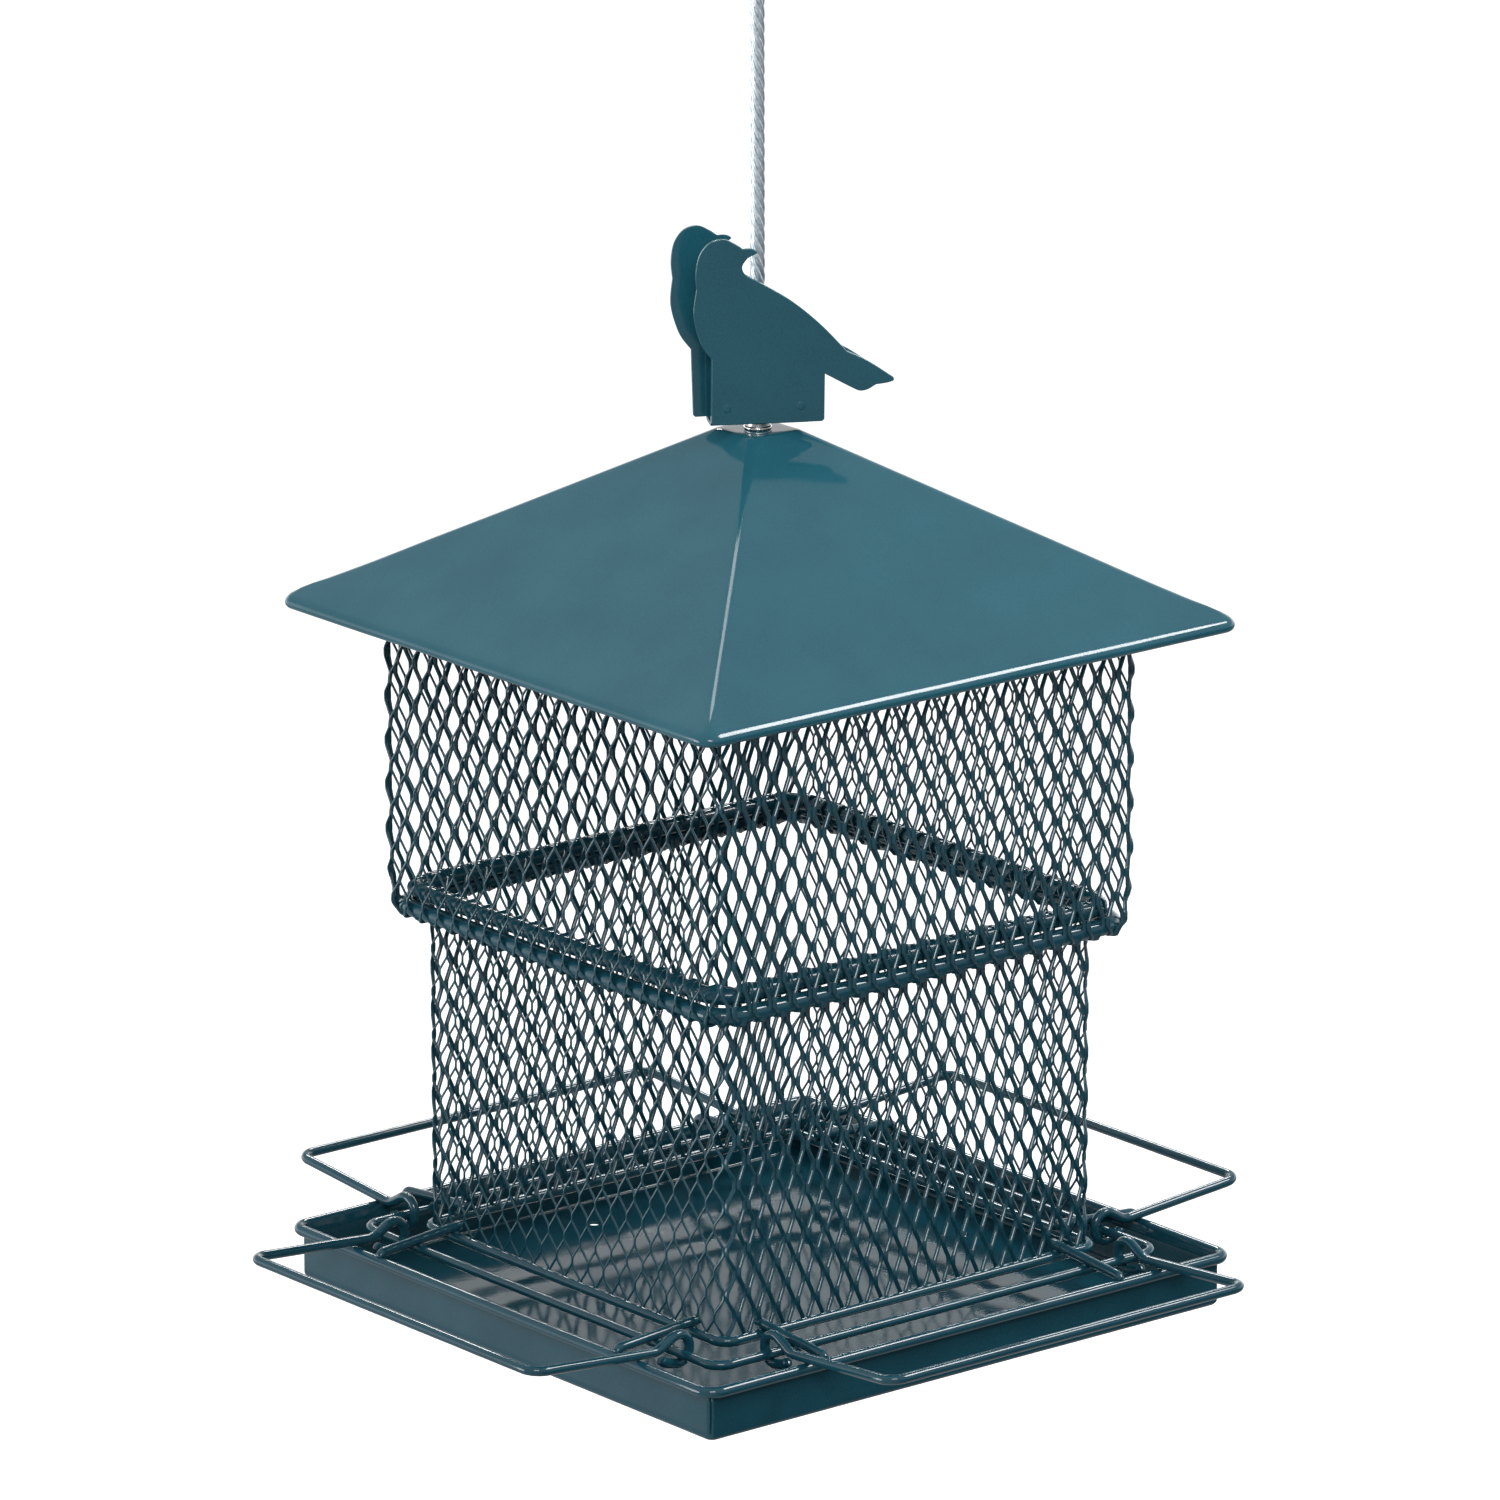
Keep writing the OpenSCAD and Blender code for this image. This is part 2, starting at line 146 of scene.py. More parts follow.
# %% The Shape class
class Shape:
    def __init__(self):
        self.points = []
        self.faces = []

    def loft(self, loops, around=True, cyclic=False, caps=True):
        """Joins loops of equal length. around closes each loop, cyclic joins last to first."""
        n, start = len(loops[0]), len(self.points)
        for loop in loops:
            self.points.extend(loop)
        for i in range(len(loops) if cyclic else len(loops) - 1):
            a = start + i * n
            b = start + (i + 1) % len(loops) * n
            for j in range(n if around else n - 1):
                k = (j + 1) % n
                self.faces.append((a + j, a + k, b + k, b + j))
        if caps and not cyclic:
            self.faces.append(tuple(range(start + n - 1, start - 1, -1)))
            last = start + (len(loops) - 1) * n
            self.faces.append(tuple(range(last, last + n)))

    def changed(self, move):
        """The same shape with every point moved by a function."""
        result = Shape()
        result.points = [move(p) for p in self.points]
        result.faces = list(self.faces)
        return result

    def join(self, other):
        start = len(self.points)
        self.points.extend(other.points)
        self.faces.extend(tuple(start + i for i in face) for face in other.faces)


# %% [markdown]
# ## Making a piece
# make_piece() turns a Shape into an object, points its faces outward and shades it smooth
# up to a crease angle. It then gives it its finish, parents it to the body it rides on and
# hides the solids of the frame that it stands for. Flat plates also get weighted normals,
# so that their rounded edges don't bend the light on their faces.

# %% make_piece
def make_piece(name, shape, finish, body, nodes, crease=40, plate=False):
    mesh = bpy.data.meshes.new(name)
    mesh.from_pydata([placed(p) for p in shape.points], [], shape.faces)
    work = bmesh.new()
    work.from_mesh(mesh)
    bmesh.ops.recalc_face_normals(work, faces=work.faces)
    work.to_mesh(mesh)
    work.free()
    mesh.shade_smooth()
    mesh.set_sharp_from_angle(angle=math.radians(crease))
    mesh.materials.append(finish)
    piece = bpy.data.objects.new(name, mesh)
    bpy.context.collection.objects.link(piece)
    if plate:
        piece.modifiers.new("even faces", "WEIGHTED_NORMAL").keep_sharp = True
    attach(piece, body)
    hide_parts(*nodes)
    print(f"{name}: {len(mesh.vertices)} points on {body}")
    return piece


# %% [markdown]
# ## Lines and sections
# Three kinds of line cover the whole feeder. An arc is a bend of sheet or wire, a square
# loop with round corners is a ring or one level of a pressed shell, and a smooth curve
# through a few chosen points is the rope's route or a bird's outline.

# %% Arcs, square loops and curves
def arc(centre, r, start, end, steps):
    """Points (across, up) on an arc, from angle start to angle end in degrees."""
    turns = (math.radians(start + (end - start) * i / steps) for i in range(steps + 1))
    return [(centre[0] + r * math.cos(t), centre[1] + r * math.sin(t)) for t in turns]


def square_loop(half, bend, z, straight=12, corner=8):
    """A level square with round corners, from the front's left end round to the right."""
    run = half - bend
    side = [Vector((-run + 2 * run * i / straight, -half, z)) for i in range(straight)]
    turns = [math.pi / 2 * i / corner for i in range(corner)]
    side += [Vector((run + bend * math.sin(t), -run - bend * math.cos(t), z)) for t in turns]
    return [Matrix.Rotation(math.pi / 2 * k, 3, "Z") @ p for k in range(4) for p in side]


def smooth(points, spacing):
    """A curve through the points, with further points about every spacing along it."""
    points = [Vector(p) for p in points]
    ends = [points[0]] + points + [points[-1]]
    result = []
    for a, b, c, d in zip(ends, ends[1:], ends[2:], ends[3:]):
        steps = max(1, round((c - b).length / spacing))
        for t in (i / steps for i in range(steps)):
            result.append(0.5 * (2 * b + (c - a) * t + (2 * a - 5 * b + 4 * c - d) * t * t
                                 + (3 * b - a - 3 * c + d) * t ** 3))
    return result + [points[-1]]


def on_side(k, x, out, z):
    """A point drawn on the front, x along it and out from the middle, turned to side k."""
    return Matrix.Rotation(math.pi / 2 * k, 3, "Z") @ Vector((x, -out, z))


# %% [markdown]
# A cross-section is carried along a line by keeping one of its directions as steady as the
# line allows. Round bars get softened ends, because enamel pulls back from a cut edge and
# pools just behind it, and a slow waviness of a few hundredths of a millimetre, because
# dipped enamel is never quite even. That waviness is what breaks up the long highlights.

# %% Swept bars and turned parts
def swept(path, section, first=UP, closed=False, sizes=None):
    n, side, loops = len(path), Vector(first), []
    for i, p in enumerate(path):
        before = path[i - 1] if i or closed else p
        after = path[(i + 1) % n] if i < n - 1 or closed else p
        ahead = (after - before).normalized()
        side = (side - ahead * side.dot(ahead)).normalized()
        out = side.cross(ahead)
        size = sizes[i] if sizes else 1
        loops.append([p + (side * a + out * b) * size for a, b in section])
    return loops


def wavy(point, size, length):
    """Moves a point a little by a slow noise, so that a surface isn't dead straight."""
    p = Vector(point)
    return p + noise.noise_vector(p / length) * size


def bar(path, r, first=UP, closed=False, sides=16):
    path, sizes = [Vector(p) for p in path], None
    if not closed:
        starts, ends = (path[1] - path[0]).normalized(), (path[-2] - path[-1]).normalized()
        head = [path[0], path[0] + starts * r * 0.12, path[0] + starts * r * 0.45]
        tail = [path[-1] + ends * r * 0.45, path[-1] + ends * r * 0.12, path[-1]]
        sizes = [0.62, 0.88, 1.02] + [1] * (len(path) - 2) + [1.02, 0.88, 0.62]
        path = head + path[1:-1] + tail
    shape = Shape()
    shape.loft(swept(path, arc((0, 0), r, 0, 360 - 360 / sides, sides - 1), first, closed, sizes),
               cyclic=closed)
    return shape.changed(lambda p: wavy(p, 0.05, 9))


def turned(profile, segments=40):
    """A ring or sleeve: a closed outline of (radius, height) points spun about the axis."""
    shape, angles = Shape(), [2 * math.pi * i / segments for i in range(segments)]
    shape.loft([[Vector((r * math.cos(a), r * math.sin(a), z)) for r, z in profile]
                for a in angles], cyclic=True)
    return shape


print("a bar of 3 mm wire has", len(bar([(0, 0, 0), (0, 0, 9)], 1.5).faces), "faces")

# %% [markdown]
# ## Writing shader maths
# A Socket wraps one output of a node. Arithmetic on it adds the Math nodes, so a mask can
# be written as 1 - rings * 0.5, and add() makes any other node: its settings first, then
# the values or links of its inputs.

# %% The Socket class
class Socket:
    def __init__(self, tree, output=None):
        self.tree, self.output = tree, output

    def add(self, kind, settings=(), inputs=(), output=0):
        node = self.tree.nodes.new(kind)
        for name, value in dict(settings).items():
            setattr(node, name, value)
        for name, value in dict(inputs).items():
            if isinstance(value, Socket):
                self.tree.links.new(value.output, node.inputs[name])
            else:
                node.inputs[name].default_value = value
        return Socket(self.tree, node.outputs[output] if node.outputs else None)

    def math(self, operation, a, b):
        return self.add("ShaderNodeMath", {"operation": operation}, {0: a, 1: b})

    def __add__(self, other):
        return self.math("ADD", self, other)

    def __sub__(self, other):
        return self.math("SUBTRACT", self, other)

    def __rsub__(self, other):
        return self.math("SUBTRACT", other, self)

    def __mul__(self, other):
        return self.math("MULTIPLY", self, other)

    __radd__, __rmul__ = __add__, __mul__


def noise_at(place, scale, detail=2):
    """A noise of the given scale, in lumps per metre."""
    return place.add("ShaderNodeTexNoise", {}, {"Vector": place, "Scale": scale, "Detail": detail})


def mixed(amount, first, second):
    """One colour blended into another by an amount that changes over the surface."""
    return amount.add("ShaderNodeMix", {"data_type": "RGBA"}, {0: amount, 6: first, 7: second}, 2)


def bumped(height, depth, strength=1, under=None):
    """A normal from a height. depth is how far, in metres, a height of 1 stands proud."""
    inputs = {"Height": height, "Distance": depth, "Strength": strength}
    if under:
        inputs["Normal"] = under
    return height.add("ShaderNodeBump", {}, inputs)


def ranged(value, low, high, to_low=0, to_high=1):
    """A smooth step from to_low to to_high as the value goes from low to high."""
    return value.add("ShaderNodeMapRange", {"interpolation_type": "SMOOTHSTEP"},
                     {"Value": value, "From Min": low, "From Max": high,
                      "To Min": to_low, "To Max": to_high})


def new_finish(name):
    """An empty material, and the object's own coordinates to pattern it with."""
    material = bpy.data.materials.new(name)
    material.use_nodes = True
    material.node_tree.nodes.clear()
    start = Socket(material.node_tree)
    return material, start.add("ShaderNodeTexCoord", output="Object")


def coated(place, **inputs):
    """Ends a material in the standard surface. Input names use _ for a space."""
    named = {name.replace("_", " "): value for name, value in inputs.items()}
    shader = place.add("ShaderNodeBsdfPrincipled", {}, named)
    place.add("ShaderNodeOutputMaterial", {}, {"Surface": shader})


# %% [markdown]
# ## Green enamel
# The feeder is dipped or sprayed in one dark blue-green gloss. Three things give such a
# finish away: a fine speckle in the colour, an orange-peel surface a millimetre or so
# across, and a slower ripple that bends reflections. Sheet, wire and mesh share the enamel
# but not the ripple, which grows with the size of the face that the enamel flowed over. The
# pan, wires and mesh look darker than the roof and the birds, so they are given a darker
# copy of the same colour, which is painted shade.

# %% Enamel
ENAMEL_COAT = ((0.0115, 0.0810, 0.1150, 1), (0.0175, 0.1140, 0.1550, 1))
# The same enamel colour darkened, as painted shade for the pan, wires and mesh.
PAINTED_SHADE_COAT = ((0.0055, 0.0440, 0.0660, 1), (0.0100, 0.0700, 0.1000, 1))


def enamel(name, peel, ripple, gloss, coat=ENAMEL_COAT):
    material, place = new_finish(name)
    speckle = noise_at(place, 2600, 3)
    cloud = noise_at(place, 45)
    shade = ranged(speckle * 0.7 + cloud * 0.3, 0.3, 0.72)
    colour = mixed(shade, *coat)
    rough = ranged(cloud, 0.3, 0.7, gloss, gloss + 0.05) + speckle * 0.03
    under = bumped(noise_at(place, 55, 1), ripple)
    normal = bumped(noise_at(place, 800, 1), peel, 0.8, under)
    coated(place, Base_Color=colour, Roughness=rough, Normal=normal, IOR=1.5)
    return material


enamel_sheet = enamel("enamel on sheet", peel=0.000006, ripple=0.00006, gloss=0.06)
# The pan, wires and mesh take the darkened colour, which is painted shade.
enamel_pan = enamel("enamel on the pan", 0.000008, 0.00012, 0.045, PAINTED_SHADE_COAT)
enamel_wire = enamel("enamel on wire", 0.000010, 0.00005, 0.05, PAINTED_SHADE_COAT)
enamel_mesh = enamel("enamel on mesh", 0.000012, 0.00004, 0.08, PAINTED_SHADE_COAT)
print("enamel finishes:", ", ".join(material.name for material in bpy.data.materials))

# %% [markdown]
# ## Bare metal
# The rope is galvanised, with a pale grey-blue skin, and is darker between its strands by
# their own shade. The eyelet and washer are bright zinc, and the pressed sleeves are soft
# aluminium with drag marks from the press. Each is metallic, with its colour broken by a spangle
# or a stain.

# %% Bare metals
def bare_metal(name, light, dark, rough, spangle, scratch, metallic=1.0):
    material, place = new_finish(name)
    stain = ranged(noise_at(place, spangle, 3), 0.35, 0.7)
    squeezed = place.add("ShaderNodeMapping", {}, {"Vector": place, "Scale": (1, 1, 0.08)})
    marks = noise_at(squeezed, scratch, 4)
    colour = mixed(stain, light, dark)
    roughness = ranged(marks, 0.3, 0.7, rough, rough + 0.18)
    coated(place, Base_Color=colour, Metallic=metallic, Roughness=roughness,
           Normal=bumped(marks, 0.00002, 0.5))
    return material


rope_wire = bare_metal("galvanised wire", (0.76, 0.83, 0.88, 1), (0.52, 0.60, 0.66, 1),
                       0.30, 900, 5000, 0.85)
zinc = bare_metal("bright zinc", (0.80, 0.80, 0.79, 1), (0.62, 0.64, 0.66, 1), 0.16, 500, 2500)
crimp_metal = bare_metal("pressed aluminium", (0.78, 0.79, 0.80, 1), (0.60, 0.61, 0.62, 1),
                         0.28, 300, 1800)
print("bare metals made")

# %% [markdown]
# ## Wire rope
# Six strands are laid right-handed round a core, one full turn in about 25 mm, and each
# strand is itself twisted the other way from fine wires. The rope is one mesh tube: its
# section is the outline of the six strands, and it turns as it goes along the route. The
# route is the engineering model's own: up the feeder's axis, through the sleeve, round the
# hanging loop and back into the sleeve.

# %% Wire rope
ROPE_D, ROPE_LAY, STRANDS = 4.4, 25.0, 6
STRAND_R, STRAND_AT, WIRE_BULGE = 0.76, 1.44, 0.045
ROUTE = [(0, 0, -0.2725), (0, 0, -0.24), (0, 0, -0.2), (0, 0, -0.16), (0, 0, -0.12),
         (0, 0, -0.09), (0, 0, -0.074), (0, 0, -0.068), (0.0012, 0, -0.0645),
         (0.0023, 0, -0.06), (0.0023, 0, -0.05), (0.0038, 0, -0.042), (0.009, 0, -0.0335),
         (0.0147, 0, -0.026), (0.0176, 0, -0.02), (0.0178, 0, -0.013), (0.0153, 0, -0.0063),
         (0.009, 0, -0.0002), (0, 0, 0.0022), (-0.009, 0, -0.0002), (-0.0153, 0, -0.0063),
         (-0.0178, 0, -0.013), (-0.0176, 0, -0.02), (-0.0147, 0, -0.026),
         (-0.009, 0, -0.0335), (-0.0038, 0, -0.042), (-0.0023, 0, -0.05),
         (-0.0023, 0, -0.0575)]


def strand_outline(turn, twist, points=13):
    """The outline of the strands, turned by an angle, with a wire's bulge every 40 degrees."""
    outline = []
    for k in range(STRANDS):
        middle = turn + 2 * math.pi * k / STRANDS
        for i in range(points):
            angle = math.radians(-100 + 200 * i / (points - 1))
            r = STRAND_R + WIRE_BULGE * math.cos(9 * (angle + twist))
            across = STRAND_AT + r * math.cos(angle)
            side = r * math.sin(angle)
            outline.append((across * math.cos(middle) - side * math.sin(middle),
                            across * math.sin(middle) + side * math.cos(middle)))
    return outline


def make_rope():
    line = smooth(ROUTE, 0.0007)
    shape, along, loops = Shape(), 0.0, []
    for i, p in enumerate(line):
        ahead = (line[min(i + 1, len(line) - 1)] - line[max(i - 1, 0)]).normalized()
        along += (p - line[i - 1]).length / MM if i else 0
        side = Vector((0, 1, 0))
        out = side.cross(ahead)
        turn = -2 * math.pi * along / ROPE_LAY
        outline = strand_outline(turn, 4 * math.pi * along / ROPE_LAY)
        centre = Vector((p.x / MM, p.y / MM, (p.z - HEM_Z) / MM))
        loops.append([centre + out * a + side * b for a, b in outline])
    shape.loft(loops)
    return shape, line, along * MM


rope_shape, rope_line, rope_length = make_rope()
rope = make_piece("wire_rope", rope_shape, rope_wire, "upper_basket", ["hanging_cable"],
                  crease=75)
print(f"rope is {rope_length:.4f} m long")

# %% [markdown]
# ## Pressed sleeves
# The loop is closed by a sleeve round both falls of the rope, pressed in three bites that
# leave shallow waists. The lower sleeve is a round stop that carries the basket's strap.
# Both are lofted from a section that shrinks at each bite and rounds off at the ends.

# %% Sleeves
def bitten(height, length, bites, depth):
    """How much a sleeve is squeezed at a height: rounded ends, and a waist at each bite."""
    edge = min(height, length - height)
    size = 1 - 0.16 * max(0, 1 - edge / 0.8) ** 2
    for k in range(bites):
        middle = length * (k + 0.5) / bites
        size -= depth * max(0, 1 - ((height - middle) / (0.32 * length / bites)) ** 2)
    return size


def lobed(spread, r, points=36):
    """Outline of two round lobes side by side, pinched a little between them."""
    outline = []
    for i in range(points):
        a = 2 * math.pi * i / points
        x = spread * math.tanh(3 * math.cos(a)) + r * math.cos(a)
        y = r * math.sin(a) * (1 - 0.12 * math.exp(-(math.cos(a) / 0.3) ** 2))
        outline.append((x, y))
    return outline


def make_sleeve(outline, low, length, bites, depth):
    shape, steps = Shape(), 40
    levels = [(length * i / steps, bitten(length * i / steps, length, bites, depth))
              for i in range(steps + 1)]
    shape.loft([[Vector((x * size, y * size, low + h)) for x, y in outline] for h, size in levels])
    return shape


ferrule_low, ferrule_high = box_mm("loop_ferrule")
ferrule = make_piece(
    "loop_sleeve", make_sleeve(lobed(2.4, 3.6), ferrule_low.z, ferrule_high.z - ferrule_low.z,
                               3, 0.09),
    crimp_metal, "upper_basket", ["loop_ferrule"])
stop_low, stop_high = box_mm("cable_stop")
make_piece(
    "stop_sleeve", make_sleeve(arc((0, 0), stop_high.x, 0, 350, 35), stop_low.z,
                               stop_high.z - stop_low.z, 2, 0.07),
    crimp_metal, "upper_basket", ["cable_stop"])

# %% [markdown]
# ## Tray
# The tray is one sheet, folded up at its sides and rolled outward into a hem. Its outline
# from the inside of the floor, up the wall, round the hem and back down the outside is
# followed level by level, each level a square with its own corner radius. The corners are
# folded, not drawn, so each shows a thin open seam, and the floor is filled flat round its
# eight drain holes.

# %% Tray profile
SHEET = 0.9
WALL_OUT = TRAY_HALF - HEM_R + 0.15
WALL_IN = WALL_OUT - SHEET
FOLD_R = 1.8
DRAIN_R, DRAIN_REACH, FLARE_ABOVE, FLARE_BELOW = 1.5, 80, 1.4, 1.2
SEAM_DEPTH = 0.0042


def ranged_number(value, low, high):
    """How far a value is from low to high, from 0 to 1."""
    return min(1, max(0, (value - low) / (high - low)))


def tray_levels():
    """(half width, height, corner radius) from the floor's inner edge to its outer edge."""
    fold = (WALL_OUT - FOLD_R, TRAY_FLOOR + FOLD_R)
    inside = [(x, z, 1.2) for x, z in arc(fold, FOLD_R - SHEET, -90, 0, 4)]
    wall = [(WALL_IN, z, 1.3) for z in (-12, -9.5, -7, -4.5, -2.6)]
    lean = [(WALL_IN + 0.12, -1.5, 1.8), (WALL_IN + 0.45, -0.7, 2.4)]
    roll = [(x, z, 5 + x - TRAY_HALF) for x, z in arc((TRAY_HALF, 0), HEM_R, 168, -150, 20)]
    tuck = [(WALL_OUT + 0.02, -1.05, 3.0), (WALL_OUT, -1.5, 2.6)]
    outer = [(WALL_OUT, z, 2.1) for z in (-2.4, -4.5, -7, -9.5, -11.4, -12.6)]
    under = [(x, z, 2.1) for x, z in arc(fold, FOLD_R, 0, -90, 6)]
    return inside + wall + lean + roll + tuck + outer + under


def seam(point, half, corner, straight, index):
    """Opens a thin groove down the middle of each folded corner of the outer wall."""
    if half <= WALL_IN + 0.5 or point.z >= -1.2:
        return point
    across = index % (straight + corner) - straight - corner / 2
    groove = math.exp(-(across / 0.75) ** 2) * ranged_number(point.z, -14.4, -12.4)
    return point * (1 - SEAM_DEPTH * groove)


print(len(tray_levels()), "levels from the tray's floor, over its hem and back under it")

# %% [markdown]
# The floor is filled with triangles between its edge and the holes' edges. Triangles are
# harmless there because the floor is flat, and each hole's wall joins the two faces. The
# holes open out towards both faces, as if they were punched and then flooded with enamel.

# %% Tray
def fill_floor(work, edge, holes):
    """Fills between an edge loop and hole loops of one level, and returns the hole loops."""
    rims = [edge] + [[work.verts.new(p) for p in hole] for hole in holes]
    edges = []
    for rim in rims:
        for a, b in zip(rim, rim[1:] + rim[:1]):
            edges.append(work.edges.get((a, b)) or work.edges.new((a, b)))
    bmesh.ops.triangle_fill(work, use_beauty=True, edges=edges)
    return rims[1:]


def make_tray():
    straight, corner = 14, 10
    loops = []
    for half, z, bend in tray_levels():
        loop = square_loop(half, bend, z, straight, corner)
        loop = [seam(p, half, corner, straight, i) for i, p in enumerate(loop)]
        loops.append([wavy(p, 0.07, 22) for p in loop])
    shape = Shape()
    shape.loft(loops, caps=False)
    work = bmesh.new()
    verts = [work.verts.new(p) for p in shape.points]
    for face in shape.faces:
        work.faces.new([verts[i] for i in face])
    n = len(loops[0])
    centres = [(DRAIN_REACH * i, DRAIN_REACH * j) for i in (-1, 0, 1) for j in (-1, 0, 1)
               if i or j]
    rims = []
    for edge, z, size in ((verts[:n], loops[0][0].z, FLARE_ABOVE),
                          (verts[-n:], loops[-1][0].z, FLARE_BELOW)):
        holes = [[Vector((x, y, z)) for x, y in arc(c, DRAIN_R * size, 0, 345, 23)]
                 for c in centres]
        rims.append(fill_floor(work, edge, holes))
    for upper, lower in zip(*rims):
        for i in range(len(upper)):
            j = (i + 1) % len(upper)
            work.faces.new((upper[i], upper[j], lower[j], lower[i]))
    work.verts.index_update()
    result = Shape()
    result.points = [v.co.copy() for v in work.verts]
    result.faces = [tuple(v.index for v in face.verts) for face in work.faces]
    work.free()
    return result


make_piece("tray_pan", make_tray(), enamel_pan, "lower_basket", ["tray"], crease=50)

# %% [markdown]
# ## Rings and base wires
# The foot wire and the perch wire are closed squares of round wire with tight bends. The
# baskets' rims are thicker tubes, and enamel has filled the gaps between the two that nest,
# so those are drawn a little fuller. A closed sweep of a level square keeps its section
# upright all the way, so the ends meet without a twist.

# %% Closed rings
def make_ring(name, node, bend, body, coat=0.0):
    half, z, r = ring_of(node)
    path = square_loop(half, bend, z, 40, 12)
    make_piece(name, bar(path, r + coat, closed=True, sides=20), enamel_wire, body, [node])


make_ring("foot_wire_ring", "foot_wire", 5.5, "lower_basket")
make_ring("perch_wire_ring", "perch_wire", 6, "lower_basket")
make_ring("lower_rim_tube", "lower_top_ring", 9, "lower_basket", 0.18)
make_ring("upper_foot_tube", "upper_bottom_ring", 9, "upper_basket", 0.18)
make_ring("upper_rim_tube", "upper_top_ring", 9, "upper_basket")

# %% [markdown]
# ## Tie bars
# Eight short bars tie the foot wire and the perch wire to the tray. Each lies over both
# wires and turns down onto the hem, and is resistance welded where it crosses them. The
# welds are small drowned beads, so they are drawn as flattened lumps half sunk in the bars.

# %% Tie bars
foot_half, foot_z, foot_r = ring_of("foot_wire")
hinge_half, hinge_z, wire_r = ring_of("perch_wire")
TIE_INNER, TIE_OUTER, TIE_BEND, TIE_DROP = 69, 98, 2.6, 62


def bead(centre, size):
    """A small weld: a lump of rings that close at both ends."""
    shape = Shape()
    rings = [(math.sin(math.pi * i / 8), -math.cos(math.pi * i / 8)) for i in range(1, 8)]
    shape.loft([[Vector(centre) + Vector((size[0] * s * math.cos(a), size[1] * s * math.sin(a),
                                          size[2] * c)) for a in
                 (2 * math.pi * j / 12 for j in range(12))] for s, c in rings])
    return shape.changed(lambda p: wavy(p, 0.16, 1.1))


def make_tie(number):
    low, high = box_mm(f"tie_bar_{number + 1}")
    k = number // 2
    middle = Matrix.Rotation(-math.pi / 2 * k, 3, "Z") @ ((low + high) / 2)
    over_foot, over_hinge = foot_z + foot_r + wire_r, hinge_z + 2 * wire_r
    fall = (over_foot - over_hinge) / (hinge_half - foot_half)
    slope = math.degrees(math.atan(fall))
    bend_at = (TIE_OUTER - TIE_BEND * math.sin(math.radians(slope)),
               over_foot - (TIE_OUTER - foot_half) * fall
               - TIE_BEND * math.cos(math.radians(slope)))
    straight = [(x, over_foot - (x - foot_half) * fall) for x in range(TIE_INNER, TIE_OUTER, 3)]
    line = straight + arc(bend_at, TIE_BEND, 90 - slope, 90 - slope - TIE_DROP, 8)
    shape = bar([on_side(k, middle.x, out, z) for out, z in line], wire_r,
                first=on_side(k, 1, 0, 0))
    for out, z in ((foot_half, foot_z + foot_r), (hinge_half, hinge_z + wire_r)):
        for side in (-1, 1):
            shape.join(bead(on_side(k, middle.x + side * 1.1, out, z), (0.9, 0.9, 0.7)))
    shape.join(bead(on_side(k, middle.x, TIE_OUTER + 1.6, 2.1), (1.3, 1.3, 0.6)))
    make_piece(f"tie_rod_{number + 1}", shape, enamel_wire, "lower_basket",
               [f"tie_bar_{number + 1}"])


for number in range(8):
    make_tie(number)

# %% [markdown]
# ## Expanded metal
# Expanded metal is a sheet that is slit in rows and pulled open. What is left is not a flat
# grille of diamonds: every strand is a flat ribbon turned on edge by about 40 degrees, and
# the joints, where two strands were never parted, are twice as wide and tilt like louvres.
# Because of that tilt the two nearest sides of the basket look different, one with broad
# dark strands and one with thin bright ones. So the mesh is drawn strand by strand, as
# ribbons that zigzag up the basket and touch their left and right neighbours in turn.

# %% Mesh dimensions
STRAND_W, STRAND_T = 1.28, 0.62
LEAN = math.radians(40)
JOINT_L = 2.3
SECTION = [(0.7, 0.16), (0.52, 0.34), (-0.52, 0.34), (-0.7, 0.16),
           (-0.7, -0.16), (-0.52, -0.34), (0.52, -0.34), (0.7, -0.16)]
# These take the section to about one strand wide and one strand thick.
SECTION_W, SECTION_T = 0.714, 1.4
SIDES = ["front", "right", "back", "left"]
print(f"strands {STRAND_W} by {STRAND_T} mm, leaning {math.degrees(LEAN):.0f} degrees")


class Basket:
    """A square basket with round corners, unrolled: u runs round it from the middle of the
    front left corner, v runs up it, and w stands out from its surface."""

    def __init__(self, half, bend, cells, rows, first_joint, profile, tuck, tuck_z):
        self.half, self.bend, self.profile = half, bend, profile
        self.tuck, self.tuck_z = tuck, tuck_z
        self.quarter = 2 * (half - bend) + math.pi / 2 * bend
        self.columns = 2 * cells
        self.pitch = 4 * self.quarter / self.columns
        self.rows, self.first_joint = rows, first_joint

    def round_at(self, u):
        """The place at u on the basket's line seen from above, and its outward direction."""
        k, t = divmod(u, self.quarter)
        eighth, run = math.pi / 4 * self.bend, self.half - self.bend
        if t < eighth:
            a = t / self.bend - math.pi / 4
            base, out = (-run, -run), (math.sin(a), -math.cos(a))
        elif t > self.quarter - eighth:
            a = (t - self.quarter + eighth) / self.bend
            base, out = (run, -run), (math.sin(a), -math.cos(a))
        else:
            base, out = (t - eighth - run, -run), (0, -1)
        place = (base[0] + out[0] * self.bend, base[1] + out[1] * self.bend)
        c, s = round(math.cos(math.pi / 2 * k)), round(math.sin(math.pi / 2 * k))
        return ((place[0] * c - place[1] * s, place[0] * s + place[1] * c),
                (out[0] * c - out[1] * s, out[0] * s + out[1] * c))


# %% [markdown]
# The ends of each sleeve are wrapped round their rims. A profile says where the sheet is at
# each length v up it: how far out, how high, and which way it faces there. The lower sleeve
# goes up behind its rim and over the top of it. The upper one draws in at its foot and
# wraps under its rim, and its head wraps over the hidden rim below the roof.

